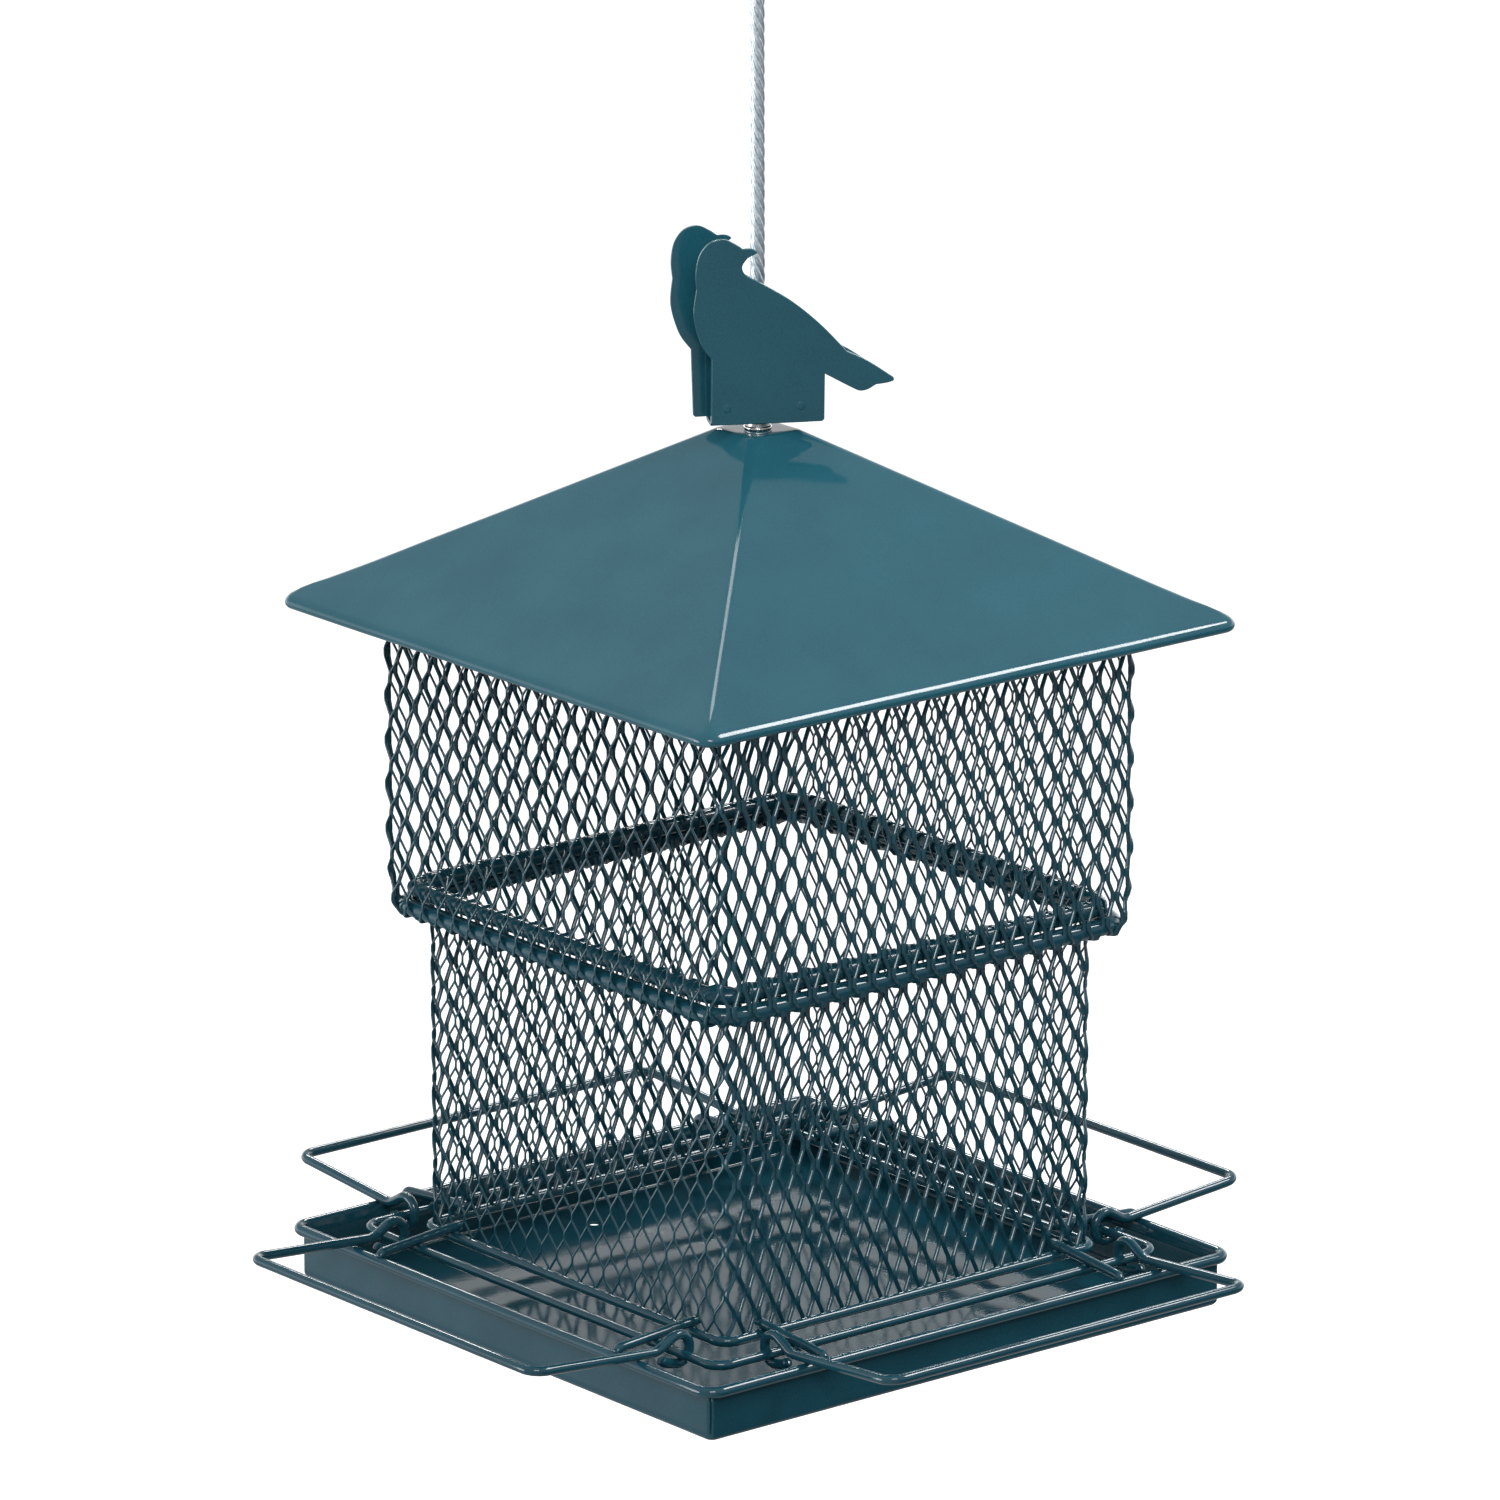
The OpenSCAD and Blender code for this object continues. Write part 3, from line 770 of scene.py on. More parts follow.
# %% Mesh profiles
WRAP_R, SHEET_IN = 2.75, 2
FLARE_H, DRAW_IN_H, HEAD_H = 7, 8, 6
lower_half = -box_mm("lower_mesh_front")[0].y - SHEET_IN
upper_half = -box_mm("upper_mesh_front")[0].y - SHEET_IN
low_rim_half, low_rim_z, rim_r = ring_of("lower_top_ring")
mid_rim_half, mid_rim_z, _ = ring_of("upper_bottom_ring")
top_rim_half, top_rim_z, _ = ring_of("upper_top_ring")
print(f"rims at {low_rim_z:.1f}, {mid_rim_z:.1f} and {top_rim_z:.1f} mm, radius {rim_r:.2f} mm")


def ease(value, low, high):
    """A smooth step from 0 to 1."""
    t = ranged_number(value, low, high)
    return t * t * (3 - 2 * t)


def wrapped(past, rim_out, rim_z, side, way):
    """The sheet a length past its rim's height, bent round the rim. side is 1 outside the
    rim and -1 inside it, and way is 1 over its top and -1 under it."""
    a = past / WRAP_R
    return (rim_out + side * WRAP_R * math.cos(a), rim_z + way * WRAP_R * math.sin(a),
            (math.cos(a), side * way * math.sin(a)))


def lower_profile(v):
    rim_out = low_rim_half - lower_half
    if v > low_rim_z:
        return wrapped(v - low_rim_z, rim_out, low_rim_z, -1, 1)
    return ((rim_out - WRAP_R) * ease(v, low_rim_z - FLARE_H, low_rim_z), v, (1, 0))


def upper_profile(v):
    foot_out, top_out = mid_rim_half - upper_half, top_rim_half - upper_half
    if v < mid_rim_z:
        return wrapped(mid_rim_z - v, foot_out, mid_rim_z, 1, -1)
    if v > top_rim_z:
        return wrapped(v - top_rim_z, top_out, top_rim_z, 1, 1)
    foot = (foot_out + WRAP_R) * (1 - ease(v, mid_rim_z, mid_rim_z + DRAW_IN_H))
    return (foot + (top_out + WRAP_R) * ease(v, top_rim_z - HEAD_H, top_rim_z), v, (1, 0))


# %% [markdown]
# One ribbon is a row of sections. Between joints the ribbon crosses from its left neighbour
# to its right one, and at a joint it runs straight for a couple of millimetres. Its width
# leans by a constant angle, which is what makes two ribbons meet edge to edge at a joint.
# Where it is wrapped round a rim the enamel has pooled, so the ribbon is half as wide again.
# The mesh has tighter corners than the rim it is wrapped round, so it is tucked in there.

# %% One strand
JOINT_GAP, TUCK_H, POOLED = 0.05, 14, 0.6


def zigzag(basket, v):
    """-1 where a strand meets its left neighbour, 1 at its right one, for an even strand."""
    row = (v - basket.first_joint) / basket.rows
    step = math.floor(row)
    joint = JOINT_L / 2 / basket.rows
    t = ranged_number(row - step, joint, 1 - joint)
    value = 2 * t - 1
    return value if step % 2 else -value


def strand(basket, column, heights):
    """The eight-sided sections of one strand, from foot to head."""
    swing = (basket.pitch - STRAND_W * math.cos(LEAN)) / 2 - JOINT_GAP
    depth = STRAND_W * math.sin(LEAN) / 2
    sign = 1 if column % 2 else -1
    line, widths, sizes = [], [], []
    for v in heights:
        s = sign * zigzag(basket, v)
        place, out = basket.round_at(((column + 0.5) * basket.pitch + swing * s)
                                     % (4 * basket.quarter))
        w, z, (face_out, face_up) = basket.profile(v)
        corner = 2 * abs(out[0] * out[1])
        w -= basket.tuck * corner * (1 - ease(v, basket.tuck_z, basket.tuck_z + TUCK_H))
        outward = Vector((out[0] * face_out, out[1] * face_out, face_up))
        along = Vector((-out[1], out[0], 0))
        flat = 1 - 0.75 * abs(face_up)
        line.append(Vector((place[0] + out[0] * w, place[1] + out[1] * w, z))
                    - outward * depth * s * flat)
        widths.append(along * math.cos(LEAN * flat) + outward * math.sin(LEAN * flat))
        swell = 1.08 if abs(s) > 0.98 else 1
        sizes.append(swell + POOLED * min(1, 3 * abs(face_up)))
    loops = []
    for i, p in enumerate(line):
        ahead = (line[min(i + 1, len(line) - 1)] - line[max(i - 1, 0)]).normalized()
        wide = (widths[i] - ahead * widths[i].dot(ahead)).normalized() * STRAND_W * sizes[i]
        thick = ahead.cross(wide).normalized() * STRAND_T * (0.4 + 0.6 * sizes[i])
        loops.append([p + wide * a * SECTION_W + thick * b * SECTION_T for a, b in SECTION])
    return loops


# %% [markdown]
# Both baskets are then drawn with one function. The heights are packed closely round each
# joint, where the strand bends, and left apart on its straight stretches. Each side of a
# basket is its own piece, so that no single mesh grows too heavy.

# %% Baskets
def heights_of(basket, low, high):
    first = math.floor((low - basket.first_joint) / basket.rows) - 1
    last = math.ceil((high - basket.first_joint) / basket.rows) + 1
    joints = [basket.first_joint + basket.rows * i for i in range(first, last + 1)]
    marks = [j + d for j in joints for d in (-1.75, -0.95, 0.95, 1.75)]
    return [low] + [v for v in marks if low + 0.3 < v < high - 0.3] + [high]


def make_basket(name, basket, low, high, body):
    heights = heights_of(basket, low, high)
    shapes = [Shape() for _ in SIDES]
    for column in range(basket.columns):
        side = int((column + 0.5) * basket.pitch // basket.quarter)
        shapes[side].loft(strand(basket, column, heights))
    for side, shape in zip(SIDES, shapes):
        make_piece(f"{name}_sleeve_{side}", shape, enamel_mesh, body,
                   [f"{name}_mesh_{side}", f"{name}_corner_{side}"], crease=60)


lower = Basket(lower_half, bend=4.5, cells=75, rows=6.78, first_joint=2.0,
               profile=lower_profile, tuck=0, tuck_z=low_rim_z)
upper = Basket(upper_half, bend=5, cells=84, rows=6.85, first_joint=99.4,
               profile=upper_profile, tuck=2.7, tuck_z=mid_rim_z)
print(f"strands are {lower.pitch:.2f} and {upper.pitch:.2f} mm apart")
make_basket("lower", lower, foot_z + 0.8, low_rim_z + 10, "lower_basket")
make_basket("upper", upper, mid_rim_z - 8.2, top_rim_z + 7, "upper_basket")

# %% [markdown]
# ## Strap and washer
# A flat strap crosses the hidden rim and carries the whole feeder on the rope's stop, with
# a zinc washer between them. The strap is cut from bar, so its long edges are rounded. Its
# hole is drilled with a Boolean that is applied at once.

# %% Strap and washer
def plate_loops(outline, thickness, edge=0.25):
    """Loops of an extruded outline whose edges are rounded by edge, as (x, y, z)."""
    n = len(outline)
    points = [Vector(p) for p in outline]
    inward = []
    for i, p in enumerate(points):
        a, b = points[i - 1], points[(i + 1) % n]
        d1, d2 = (p - a).normalized(), (b - p).normalized()
        normal = Vector((-(d1 + d2).y, (d1 + d2).x))
        inward.append(normal.normalized() / max(0.5, normal.length / 2))
    steps = [(1, 0), (0.62, 0.08), (0.29, 0.29), (0.08, 0.62), (0, 1)]
    levels = [(d * edge, thickness / 2 - h * edge) for d, h in steps]
    levels += [(d, -z) for d, z in reversed(levels)]
    return [[Vector((p.x + q.x * d, p.y + q.y * d, z)) for p, q in zip(points, inward)]
            for d, z in levels]


def drilled(piece, centre, r, depth):
    """Drills a round hole through a piece, up its axis, and keeps the result."""
    cutter_shape = Shape()
    cutter_shape.loft([[Vector((centre[0] + x, centre[1] + y, centre[2] + h))
                        for x, y in arc((0, 0), r, 0, 352.5, 47)] for h in (-depth, depth)])
    mesh = bpy.data.meshes.new("drill")
    mesh.from_pydata([placed(p) for p in cutter_shape.points], [], cutter_shape.faces)
    drill = bpy.data.objects.new("drill", mesh)
    bpy.context.collection.objects.link(drill)
    cut = piece.modifiers.new("hole", "BOOLEAN")
    cut.object, cut.solver = drill, "EXACT"
    piece.modifiers.move(len(piece.modifiers) - 1, 0)
    whole = piece.data
    bpy.context.view_layer.update()
    graph = bpy.context.evaluated_depsgraph_get()
    piece.data = bpy.data.meshes.new_from_object(piece.evaluated_get(graph))
    piece.data.set_sharp_from_angle(angle=math.radians(40))
    piece.modifiers.remove(cut)
    bpy.data.objects.remove(drill)
    bpy.data.meshes.remove(whole)


strap_low, strap_high = box_mm("cross_strap")
strap_z = (strap_low.z + strap_high.z) / 2
strap_outline = arc((strap_high.x - 2, strap_low.y + 2), 2, -90, 0, 6)
strap_outline += arc((strap_high.x - 2, strap_high.y - 2), 2, 0, 90, 6)
strap_outline += [(-x, -y) for x, y in strap_outline]
strap_shape = Shape()
strap_shape.loft(plate_loops(strap_outline, strap_high.z - strap_low.z, 0.5))
strap = make_piece("cross_bar", strap_shape.changed(lambda p: p + UP * strap_z), enamel_wire,
                   "upper_basket", ["cross_strap"], plate=True)
drilled(strap, (0, 0, strap_z), 2.6, 4)

washer_low, washer_high = box_mm("stop_washer")
washer_profile = [(2.75, washer_low.z), (6.7, washer_low.z), (7, washer_low.z + 0.3),
                  (7, washer_high.z - 0.3), (6.7, washer_high.z), (2.75, washer_high.z),
                  (2.6, washer_high.z - 0.15), (2.6, washer_low.z + 0.15)]
make_piece("lock_washer", turned(washer_profile), zinc, "upper_basket", ["stop_washer"])

# %% [markdown]
# ## Roof
# The roof is one pressed pyramid with softly rounded ridges. It is lofted from the hole at
# its peak, over a small flat, down the slope and round the rolled hem, then back up the
# inside, so that it is a real sheet with two faces. The ridge radius is small and constant
# on the slope and opens up at the hem, where the roll needs room to bend.

# %% Roof profile
roof_low, roof_high = box_mm("roof")
ROOF_HALF, ROOF_Z, FLAT_Z = roof_high.x - HEM_R, roof_low.z + HEM_R, roof_high.z
FLAT_HALF, HOLE_R, RIDGE_R = 9.2, 2.6, 2.4
SLOPE = (FLAT_Z - ROOF_Z - 1.48) / (ROOF_HALF + 0.93 - FLAT_HALF)
PITCH = math.degrees(math.atan(SLOPE))


print(f"the roof slopes at {PITCH:.1f} degrees")


def slope_z(half):
    """Height of the roof's outside at a half width."""
    return FLAT_Z - (half - FLAT_HALF) * SLOPE


def ridge(half):
    """Corner radius at a half width: the ridge's own, opening up towards the hem."""
    hem_bend = 4 + half - ROOF_HALF
    return RIDGE_R + (hem_bend - RIDGE_R) * ease(half, ROOF_HALF - 9, ROOF_HALF)


def roof_levels():
    """(half width, height, corner radius) over the roof's outside, hem and inside."""
    knee = arc((FLAT_HALF - 0.8, FLAT_Z - 3), 3, 90, 90 - PITCH, 6)
    top = [(5, FLAT_Z, 3.4), (7, FLAT_Z, 3)] + [(x, z, 2.6) for x, z in knee]
    slope = [(h, slope_z(h) + 0.42 * ease(h, 80, ROOF_HALF), ridge(h))
             for h in (14, 24, 38, 54, 70, 80, 84, 88, 91.5, 94.5, 97)]
    shoulder_at = (ROOF_HALF - 3.25 * math.cos(math.radians(30)), ROOF_Z - 1.625)
    edge = arc(shoulder_at, HEM_R + 3.25, 90 - PITCH, 34, 5)
    edge += arc((ROOF_HALF, ROOF_Z), HEM_R, 28, -195, 20)
    roll = [(x, z, max(2, 4 + x - ROOF_HALF)) for x, z in edge]
    inner = [(h, slope_z(h) - SHEET * 1.18, max(1.2, ridge(h) - SHEET))
             for h in (96, 90, 82, 70, 54, 38, 24, 14)]
    peak = [(FLAT_HALF - 0.6, FLAT_Z - SHEET, 1.8), (5, FLAT_Z - SHEET, 3)]
    return top + slope + roll + inner + peak


# %% [markdown]
# The loops at the hole are circles with as many points as the square levels, each set at
# the same bearing as the square's point, so the quads fan out without crossing.

# %% Roof
def make_roof():
    straight, corner = 16, 10
    loops = [square_loop(half, bend, z, straight, corner) for half, z, bend in roof_levels()]
    loops = [[wavy(p, 0.10, 26) for p in loop] for loop in loops]
    for place, z in ((0, FLAT_Z), (len(loops) + 1, FLAT_Z - SHEET)):
        rim = [Vector((p.x, p.y, 0)).normalized() * HOLE_R for p in loops[1]]
        loops.insert(place, [Vector((p.x, p.y, z)) for p in rim])
    shape = Shape()
    shape.loft(loops, cyclic=True)
    return shape


make_piece("roof_cap", make_roof(), enamel_sheet, "roof", ["roof"], crease=35)

# %% [markdown]
# ## Perches
# Each perch is one length of wire. It starts as a short tail under the arm, goes round an
# open eye on the perch wire, climbs over a neck, runs out along the arm, crosses as the
# perching bar and comes back the same way. Drawing it as one sweep, as it is bent, gives
# the eyes and necks their true shape and lets the whole perch hinge as one piece.

# %% Perches
PERCH_REACH, ARM_BEND = 139, 5
EYE_R, EYE_END, TAIL_L, TAIL_BEND = 4.4, 285, 3.2, 4
NECK_SLOPE, NECK_BEND = 30, 7
eye_x, eye_z = hinge_half + 0.4, hinge_z + EYE_R - 2 * wire_r - 0.2
rest_z = HEM_R + wire_r + 0.2
bar_z = 6.5
ARM_SLOPE = math.degrees(math.atan((bar_z - rest_z) / (PERCH_REACH - TRAY_HALF)))


print(f"the arms rise at {ARM_SLOPE:.1f} degrees")


def arm_z(out):
    """Height of an arm's middle at a distance out."""
    return rest_z + (out - TRAY_HALF) * math.tan(math.radians(ARM_SLOPE))


def arm_line():
    """(out, up) from the tail, round the eye and over the neck to the start of the arm."""
    rise, fall = math.radians(ARM_SLOPE), math.radians(NECK_SLOPE)
    leave = (eye_x + EYE_R * math.sin(fall), eye_z + EYE_R * math.cos(fall))
    meet = ((leave[1] - rest_z + TRAY_HALF * math.tan(rise) + leave[0] * math.tan(fall))
            / (math.tan(rise) + math.tan(fall)))
    cut = NECK_BEND * math.tan((fall + rise) / 2)
    start = (meet + cut * math.cos(rise), arm_z(meet) + cut * math.sin(rise))
    neck = (start[0] - NECK_BEND * math.sin(rise), start[1] + NECK_BEND * math.cos(rise))
    low = math.radians(EYE_END)
    bottom = (eye_x + EYE_R * math.cos(low), eye_z + EYE_R * math.sin(low))
    lean = EYE_END - 270
    run = math.radians(lean)
    tip = (bottom[0] + TAIL_L * math.cos(run), bottom[1] + TAIL_L * math.sin(run))
    curl = (tip[0] - TAIL_BEND * math.sin(run), tip[1] + TAIL_BEND * math.cos(run))
    return (arc(curl, TAIL_BEND, lean - 50, lean - 90, 4)
            + arc((eye_x, eye_z), EYE_R, EYE_END, 90 - NECK_SLOPE, 26)
            + arc(neck, NECK_BEND, -90 - NECK_SLOPE, -90 + ARM_SLOPE, 8))


# %% [markdown]
# The outer corners lie in the sloping plane of the arms, so each point of the bend gives
# both its reach and its height. Long straight stretches get extra points, which carry the
# enamel's slow waviness.

# %% Draw the perches
def make_perch(k):
    low, high = box_mm(f"perch_{SIDES[k]}")
    unturn = Matrix.Rotation(-math.pi / 2 * k, 3, "Z")
    a, b = unturn @ low, unturn @ high
    shift, span = (a.x + b.x) / 2, abs(a.x - b.x) - 2 * wire_r
    rise = math.radians(ARM_SLOPE)
    half, line = span / 2, arm_line()
    arm = [Vector((half, out, z)) for out, z in line]
    arm += [Vector((half, out, arm_z(out))) for out in range(112, PERCH_REACH - ARM_BEND, 6)]
    corner = [Vector((half - ARM_BEND + x, PERCH_REACH - ARM_BEND + y * math.cos(rise),
                      arm_z(PERCH_REACH - ARM_BEND) + y * math.sin(rise)))
              for x, y in arc((0, 0), ARM_BEND, 0, 90, 10)]
    right = arm + corner
    cross = [Vector((x, right[-1].y, right[-1].z)) for x in range(54, -55, -6)]
    left = [Vector((-p.x, p.y, p.z)) for p in reversed(right)]
    path = [on_side(k, p.x + shift, p.y, p.z) for p in right + cross + left]
    make_piece(f"perch_loop_{SIDES[k]}", bar(path, wire_r, first=on_side(k, 1, 0, 0)),
               enamel_wire, f"perch_{SIDES[k]}", [f"perch_{SIDES[k]}"])


for k in range(4):
    make_perch(k)

# %% [markdown]
# ## Birds
# The two birds are blanked from 1.2 mm sheet with one die and stand back to back on a bent
# bracket, leaning outward by four degrees. The outline follows the blank: straight base,
# breast, round head, short beak, the back's long slope and the tail. Its edges are rounded
# by a quarter of a millimetre, as enamel leaves them.

# %% Outline of a bird
BIRD = [
    [(33.7, 0.6), (33, 0), (0.6, 0), (0, 0.6)],
    [(0, 20.3), (-3.4, 25.4), (-5.6, 34), (-4.8, 42)],
    [(-4.8, 42), (-5.1, 47), (-4, 52.4), (-1, 56.2), (3, 57.2), (6.4, 55.8), (8.9, 54)],
    [(8.9, 54), (11.6, 53.9), (13.2, 52.8), (10.3, 51.2)],
    [(10.3, 51.2), (8.7, 48.7), (9.6, 46.2), (12.6, 44.4)],
    [(12.6, 44.4), (23, 37.9), (32, 30.2), (40.2, 21.3)],
    [(40.2, 21.3), (46.3, 18.2), (54.2, 12.7)],
    [(54.2, 12.7), (54.4, 11.8), (52.5, 11.1), (49, 10.7)],
    [(49, 10.7), (46.6, 9.3), (44.4, 8.9), (42, 9.9), (33.7, 14.6)],
]
BIRD_LEFT, BIRD_RISE, BIRD_T = -14.7, 0.8, 1.2
TURN, BIRD_LEAN, GAP = -30, math.radians(4), 9.4
BRACKET_L, FLANGE_H, BRACKET_Z = 29.4, 20.6, 254.8


def bird_outline():
    points = []
    for stretch in BIRD:
        for p in smooth([(x, y, 0) for x, y in stretch], 0.9):
            if not points or (p.xy - points[-1]).length > 0.05:
                points.append(p.xy)
    return list(reversed(points))


def finial(point):
    """A point of the bracket or the birds, turned about the rope to face as they do."""
    return Matrix.Rotation(math.radians(TURN), 3, "Z") @ Vector(point)


def on_flange(s, x, up, out):
    """A point out from the flange on side s of the bracket (-1 front, 1 rear)."""
    y, a = s * out, -s * BIRD_LEAN
    return finial((x, s * GAP / 2 + y * math.cos(a) - up * math.sin(a),
                   BRACKET_Z + y * math.sin(a) + up * math.cos(a)))


print(len(bird_outline()), "points round a bird")

# %% [markdown]
# The rear bird sits a little further along the bracket and is tipped back by a degree, as
# hand riveting leaves it, which is why its head shows behind the other's.

# %% Birds
def make_bird(name, node, s, shift, tip):
    shape, turn = Shape(), math.radians(tip)
    shape.loft(plate_loops(bird_outline(), BIRD_T))

    def stand(p):
        x = p.x * math.cos(turn) - p.y * math.sin(turn) + BIRD_LEFT + shift
        up = p.x * math.sin(turn) + p.y * math.cos(turn) + BIRD_RISE
        return on_flange(s, x, up, BIRD_T / 2 - s * p.z)

    make_piece(name, shape.changed(stand), enamel_sheet, "finial", [node], plate=True)


make_bird("bird_cutout_front", "bird_front", -1, 0, 0)
make_bird("bird_cutout_rear", "bird_rear", 1, -3.8, 1.1)

# %% [markdown]
# ## Bracket
# The bracket is a strip bent into a U that stands astride the rope. Its section is a line
# with two round bends, offset to each side by half the sheet, and swept along the strip's
# width. The rope's hole is drilled through its floor afterwards.

# %% Bracket
def rounded(points, r, steps=5):
    """A line of straight stretches with each inner corner replaced by an arc of radius r."""
    points = [Vector(p) for p in points]
    result = [points[0]]
    for a, b, c in zip(points, points[1:], points[2:]):
        d1, d2 = (b - a).normalized(), (c - b).normalized()
        cut = r * math.tan(d1.angle(d2) / 2)
        for i in range(steps + 1):
            t = i / steps
            result.append((b - d1 * cut) * (1 - t) ** 2 + b * 2 * t * (1 - t)
                          + (b + d2 * cut) * t * t)
    return result + [points[-1]]


def make_bracket():
    t = BIRD_T / 2
    foot = GAP / 2 - t
    head = foot + FLANGE_H * math.tan(BIRD_LEAN)
    line = rounded([(-head, FLANGE_H), (-foot, t), (foot, t), (head, FLANGE_H)], 1.2)
    outer, inner = [], []
    for i, p in enumerate(line):
        ahead = (line[min(i + 1, len(line) - 1)] - line[max(i - 1, 0)]).normalized()
        side = Vector((ahead.y, -ahead.x)) * t
        outer.append(p + side)
        inner.append(p - side)
    section = outer + inner[::-1]
    middle = Vector((0, FLANGE_H / 2))
    shape = Shape()
    half = BRACKET_L / 2
    stations = [(-half, 0.988), (-half + 0.25, 1), (half - 0.25, 1), (half, 0.988)]
    shape.loft([[finial((x, (p.x - middle.x) * size, BRACKET_Z + middle.y
                         + (p.y - middle.y) * size)) for p in section]
                for x, size in stations])
    return shape


bracket = make_piece("bird_bracket", make_bracket(), enamel_sheet, "finial",
                     ["finial_bracket"])
drilled(bracket, (0, 0, BRACKET_Z), 3.05, 3)

# %% [markdown]
# ## Rivets and eyelet
# Each bird is held to a flange by two flush rivets, and a zinc eyelet through the bracket's
# floor turns on the roof's peak and lets the rope pass, so the birds can swing round like a
# weather vane. Both are turned parts, drawn as an outline spun about their own axis.

# %% Rivets and eyelet
RIVET_AT, RIVET_UP = (4.5, 26.5), 5


def make_rivets():
    """Four rivets, each with a low dome outside and a flatter formed head inside."""
    heads = [(0.0, 1.34), (0.7, 1.33), (1.15, 1.29), (1.35, 1.2), (1.2, 1.1), (1.2, -1.15),
             (1.6, -1.2), (1.5, -1.5), (0.9, -1.62), (0.0, -1.66)]
    shape = Shape()
    for s in (-1, 1):
        for x in RIVET_AT:
            shape.loft([[on_flange(s, BIRD_LEFT + x + max(r, 0.02) * math.cos(a),
                                   BIRD_RISE + RIVET_UP + max(r, 0.02) * math.sin(a), out)
                         for a in (2 * math.pi * i / 20 for i in range(20))]
                        for r, out in heads])
    return shape


make_piece("flush_rivets", make_rivets(), enamel_sheet, "finial", ["finial_rivets"])
foot, head = (corner.z for corner in box_mm("finial_eyelet"))
flange = [(2.5, foot + 0.2), (2.7, foot), (4.0, foot), (4.2, foot + 0.25), (4.2, foot + 0.75),
          (3.95, foot + 1), (3.6, foot + 1.05)]
barrel = [(3.6, BRACKET_Z - 0.1), (3.0, BRACKET_Z), (3.0, BRACKET_Z + 1.22)]
rolled_lip = [(3.25, BRACKET_Z + 1.28), (3.3, head - 0.35), (3.05, head - 0.05), (2.7, head),
              (2.5, head - 0.2)]
make_piece("swivel_eyelet", turned(flange + barrel + rolled_lip), zinc, "finial_eyelet",
           ["finial_eyelet"], crease=50)

# %% [markdown]
# ## The air of the studio
# The feeder hangs in a white studio. Its gloss shows the room: a pale wall behind it, a
# softer ceiling, and less light from the camera's side, which is what keeps the enamel
# dark there. So the world is white where the lens looks at it, and a gentle map of a room
# for light and reflections.

# %% World
world = bpy.data.worlds.new("studio air")
bpy.context.scene.world = world
world.use_nodes = True
world.node_tree.nodes.clear()
air = Socket(world.node_tree)
look = air.add("ShaderNodeTexCoord", output="Generated")


def facing(direction):
    """How much a line of sight points along a direction, from -1 to 1."""
    return look.add("ShaderNodeVectorMath", {"operation": "DOT_PRODUCT"},
                    {0: look, 1: Vector(direction).normalized()}, "Value")


ROOM_LEVEL, WALL_GLOW, CEILING_GLOW, FLOOR_SHADE, BACKDROP = 0.48, 1.3, 0.12, 0.42, 1.05
height = facing((0, 0, 1))
behind = facing((-math.sin(AZIMUTH), math.cos(AZIMUTH), 0))
rightward = facing((math.cos(AZIMUTH), math.sin(AZIMUTH), 0))
wall = ranged(behind, -0.25, 0.45)
low_band = ranged(height - rightward * 0.15, -0.24, -0.06)
high_band = 1 - ranged(height, 0.10, 0.42)
ceiling = ranged(height, 0.15, 0.6)
front_floor = ranged(rightward * 1.2 - behind * 0.4, 0.5, 1.1)
room = ROOM_LEVEL + wall * low_band * high_band * WALL_GLOW + ceiling * CEILING_GLOW
room = room - (1 - low_band) * front_floor * FLOOR_SHADE
seen = air.add("ShaderNodeLightPath", output="Is Camera Ray")
strength = room * (1 - seen) + seen * BACKDROP
background = air.add("ShaderNodeBackground", {}, {"Color": (1, 1, 1, 1), "Strength": strength})
air.add("ShaderNodeOutputWorld", {}, {"Surface": background})
bpy.context.scene.view_settings.view_transform = "Standard"
print(len(world.node_tree.nodes), "nodes shape the studio air")

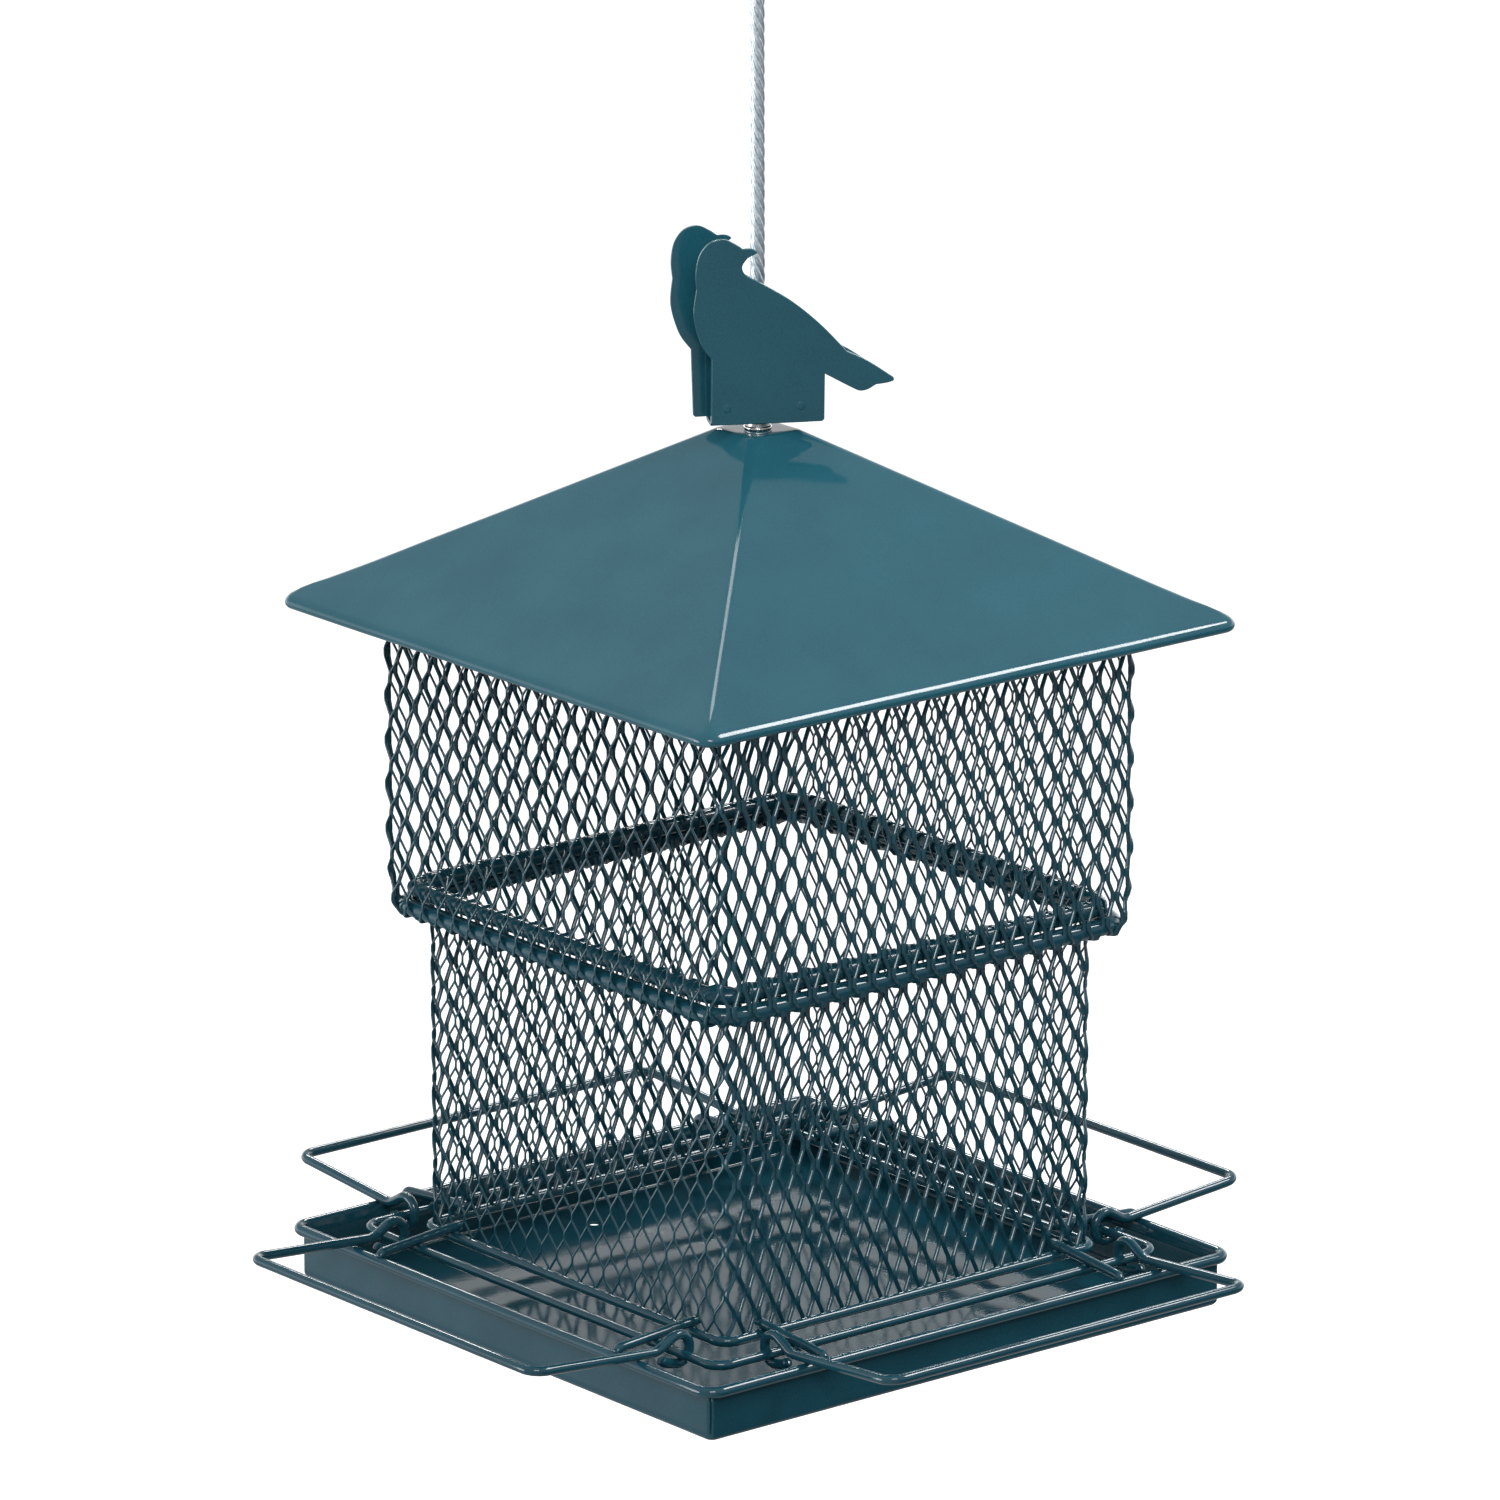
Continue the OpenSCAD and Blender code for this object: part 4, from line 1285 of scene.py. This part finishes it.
# %% [markdown]
# ## Floor
# A plain pale floor lies well below the feeder and reaches so far that its edge stays out
# of view from above. It glows a little, so that it stays white with no light aimed at it,
# and it neither lights the enamel nor shows in it, because the studio air already does.

# %% Floor
REACH, FLOOR_Z = 14, -1.3
floor_mesh = bpy.data.meshes.new("studio floor")
floor_mesh.from_pydata([(-REACH, -REACH, FLOOR_Z), (REACH, -REACH, FLOOR_Z),
                        (REACH, REACH, FLOOR_Z), (-REACH, REACH, FLOOR_Z)], [], [(0, 1, 2, 3)])
floor = bpy.data.objects.new("studio_floor", floor_mesh)
bpy.context.collection.objects.link(floor)
pale, floor_place = new_finish("pale floor")
coated(floor_place, Base_Color=(0.9, 0.9, 0.9, 1), Roughness=0.9,
       Emission_Color=(1, 1, 1, 1), Emission_Strength=0.45)
floor_mesh.materials.append(pale)
floor.visible_glossy = False
floor.visible_diffuse = False
print("floor at", FLOOR_Z, "m")

# %% [markdown]
# ## Lights
# Narrow softboxes stand to the right and behind. They draw the white lines along the upper
# sides of the hems and wires, and a faint one overhead picks out the roof's ridge. A broad
# key beside the camera and a fill on the left light the colour itself.

# %% Lights
FEEDER_Z = -0.33


def softbox(name, direction, distance, size, power):
    light = bpy.data.lights.new(name, "AREA")
    light.shape = "RECTANGLE"
    light.size, light.size_y = size
    light.energy = power
    lamp = bpy.data.objects.new(name, light)
    bpy.context.collection.objects.link(lamp)
    aim = Vector(direction).normalized()
    lamp.location = Vector((0, 0, FEEDER_Z)) + aim * distance
    lamp.rotation_mode = "QUATERNION"
    lamp.rotation_quaternion = aim.to_track_quat("Z", "Y")
    print(f"{name}: {power} W, {distance} m away")


softbox("right rear strip", (0.60, 0.50, 0.62), 3.0, (0.7, 0.35), 20)
softbox("rear strip", (0.39, 0.745, 0.54), 3.0, (0.6, 0.30), 14)
softbox("right front strip", (0.55, -0.42, 0.72), 3.0, (1.2, 0.70), 44)
softbox("top strip", (0.26, 0.40, 0.88), 3.0, (0.55, 0.40), 3)
softbox("camera side key", (-0.48, -0.66, 0.50), 3.2, (1.4, 0.7), 34)
softbox("left fill", (-0.86, 0.45, -0.05), 3.0, (1.6, 1.4), 42)
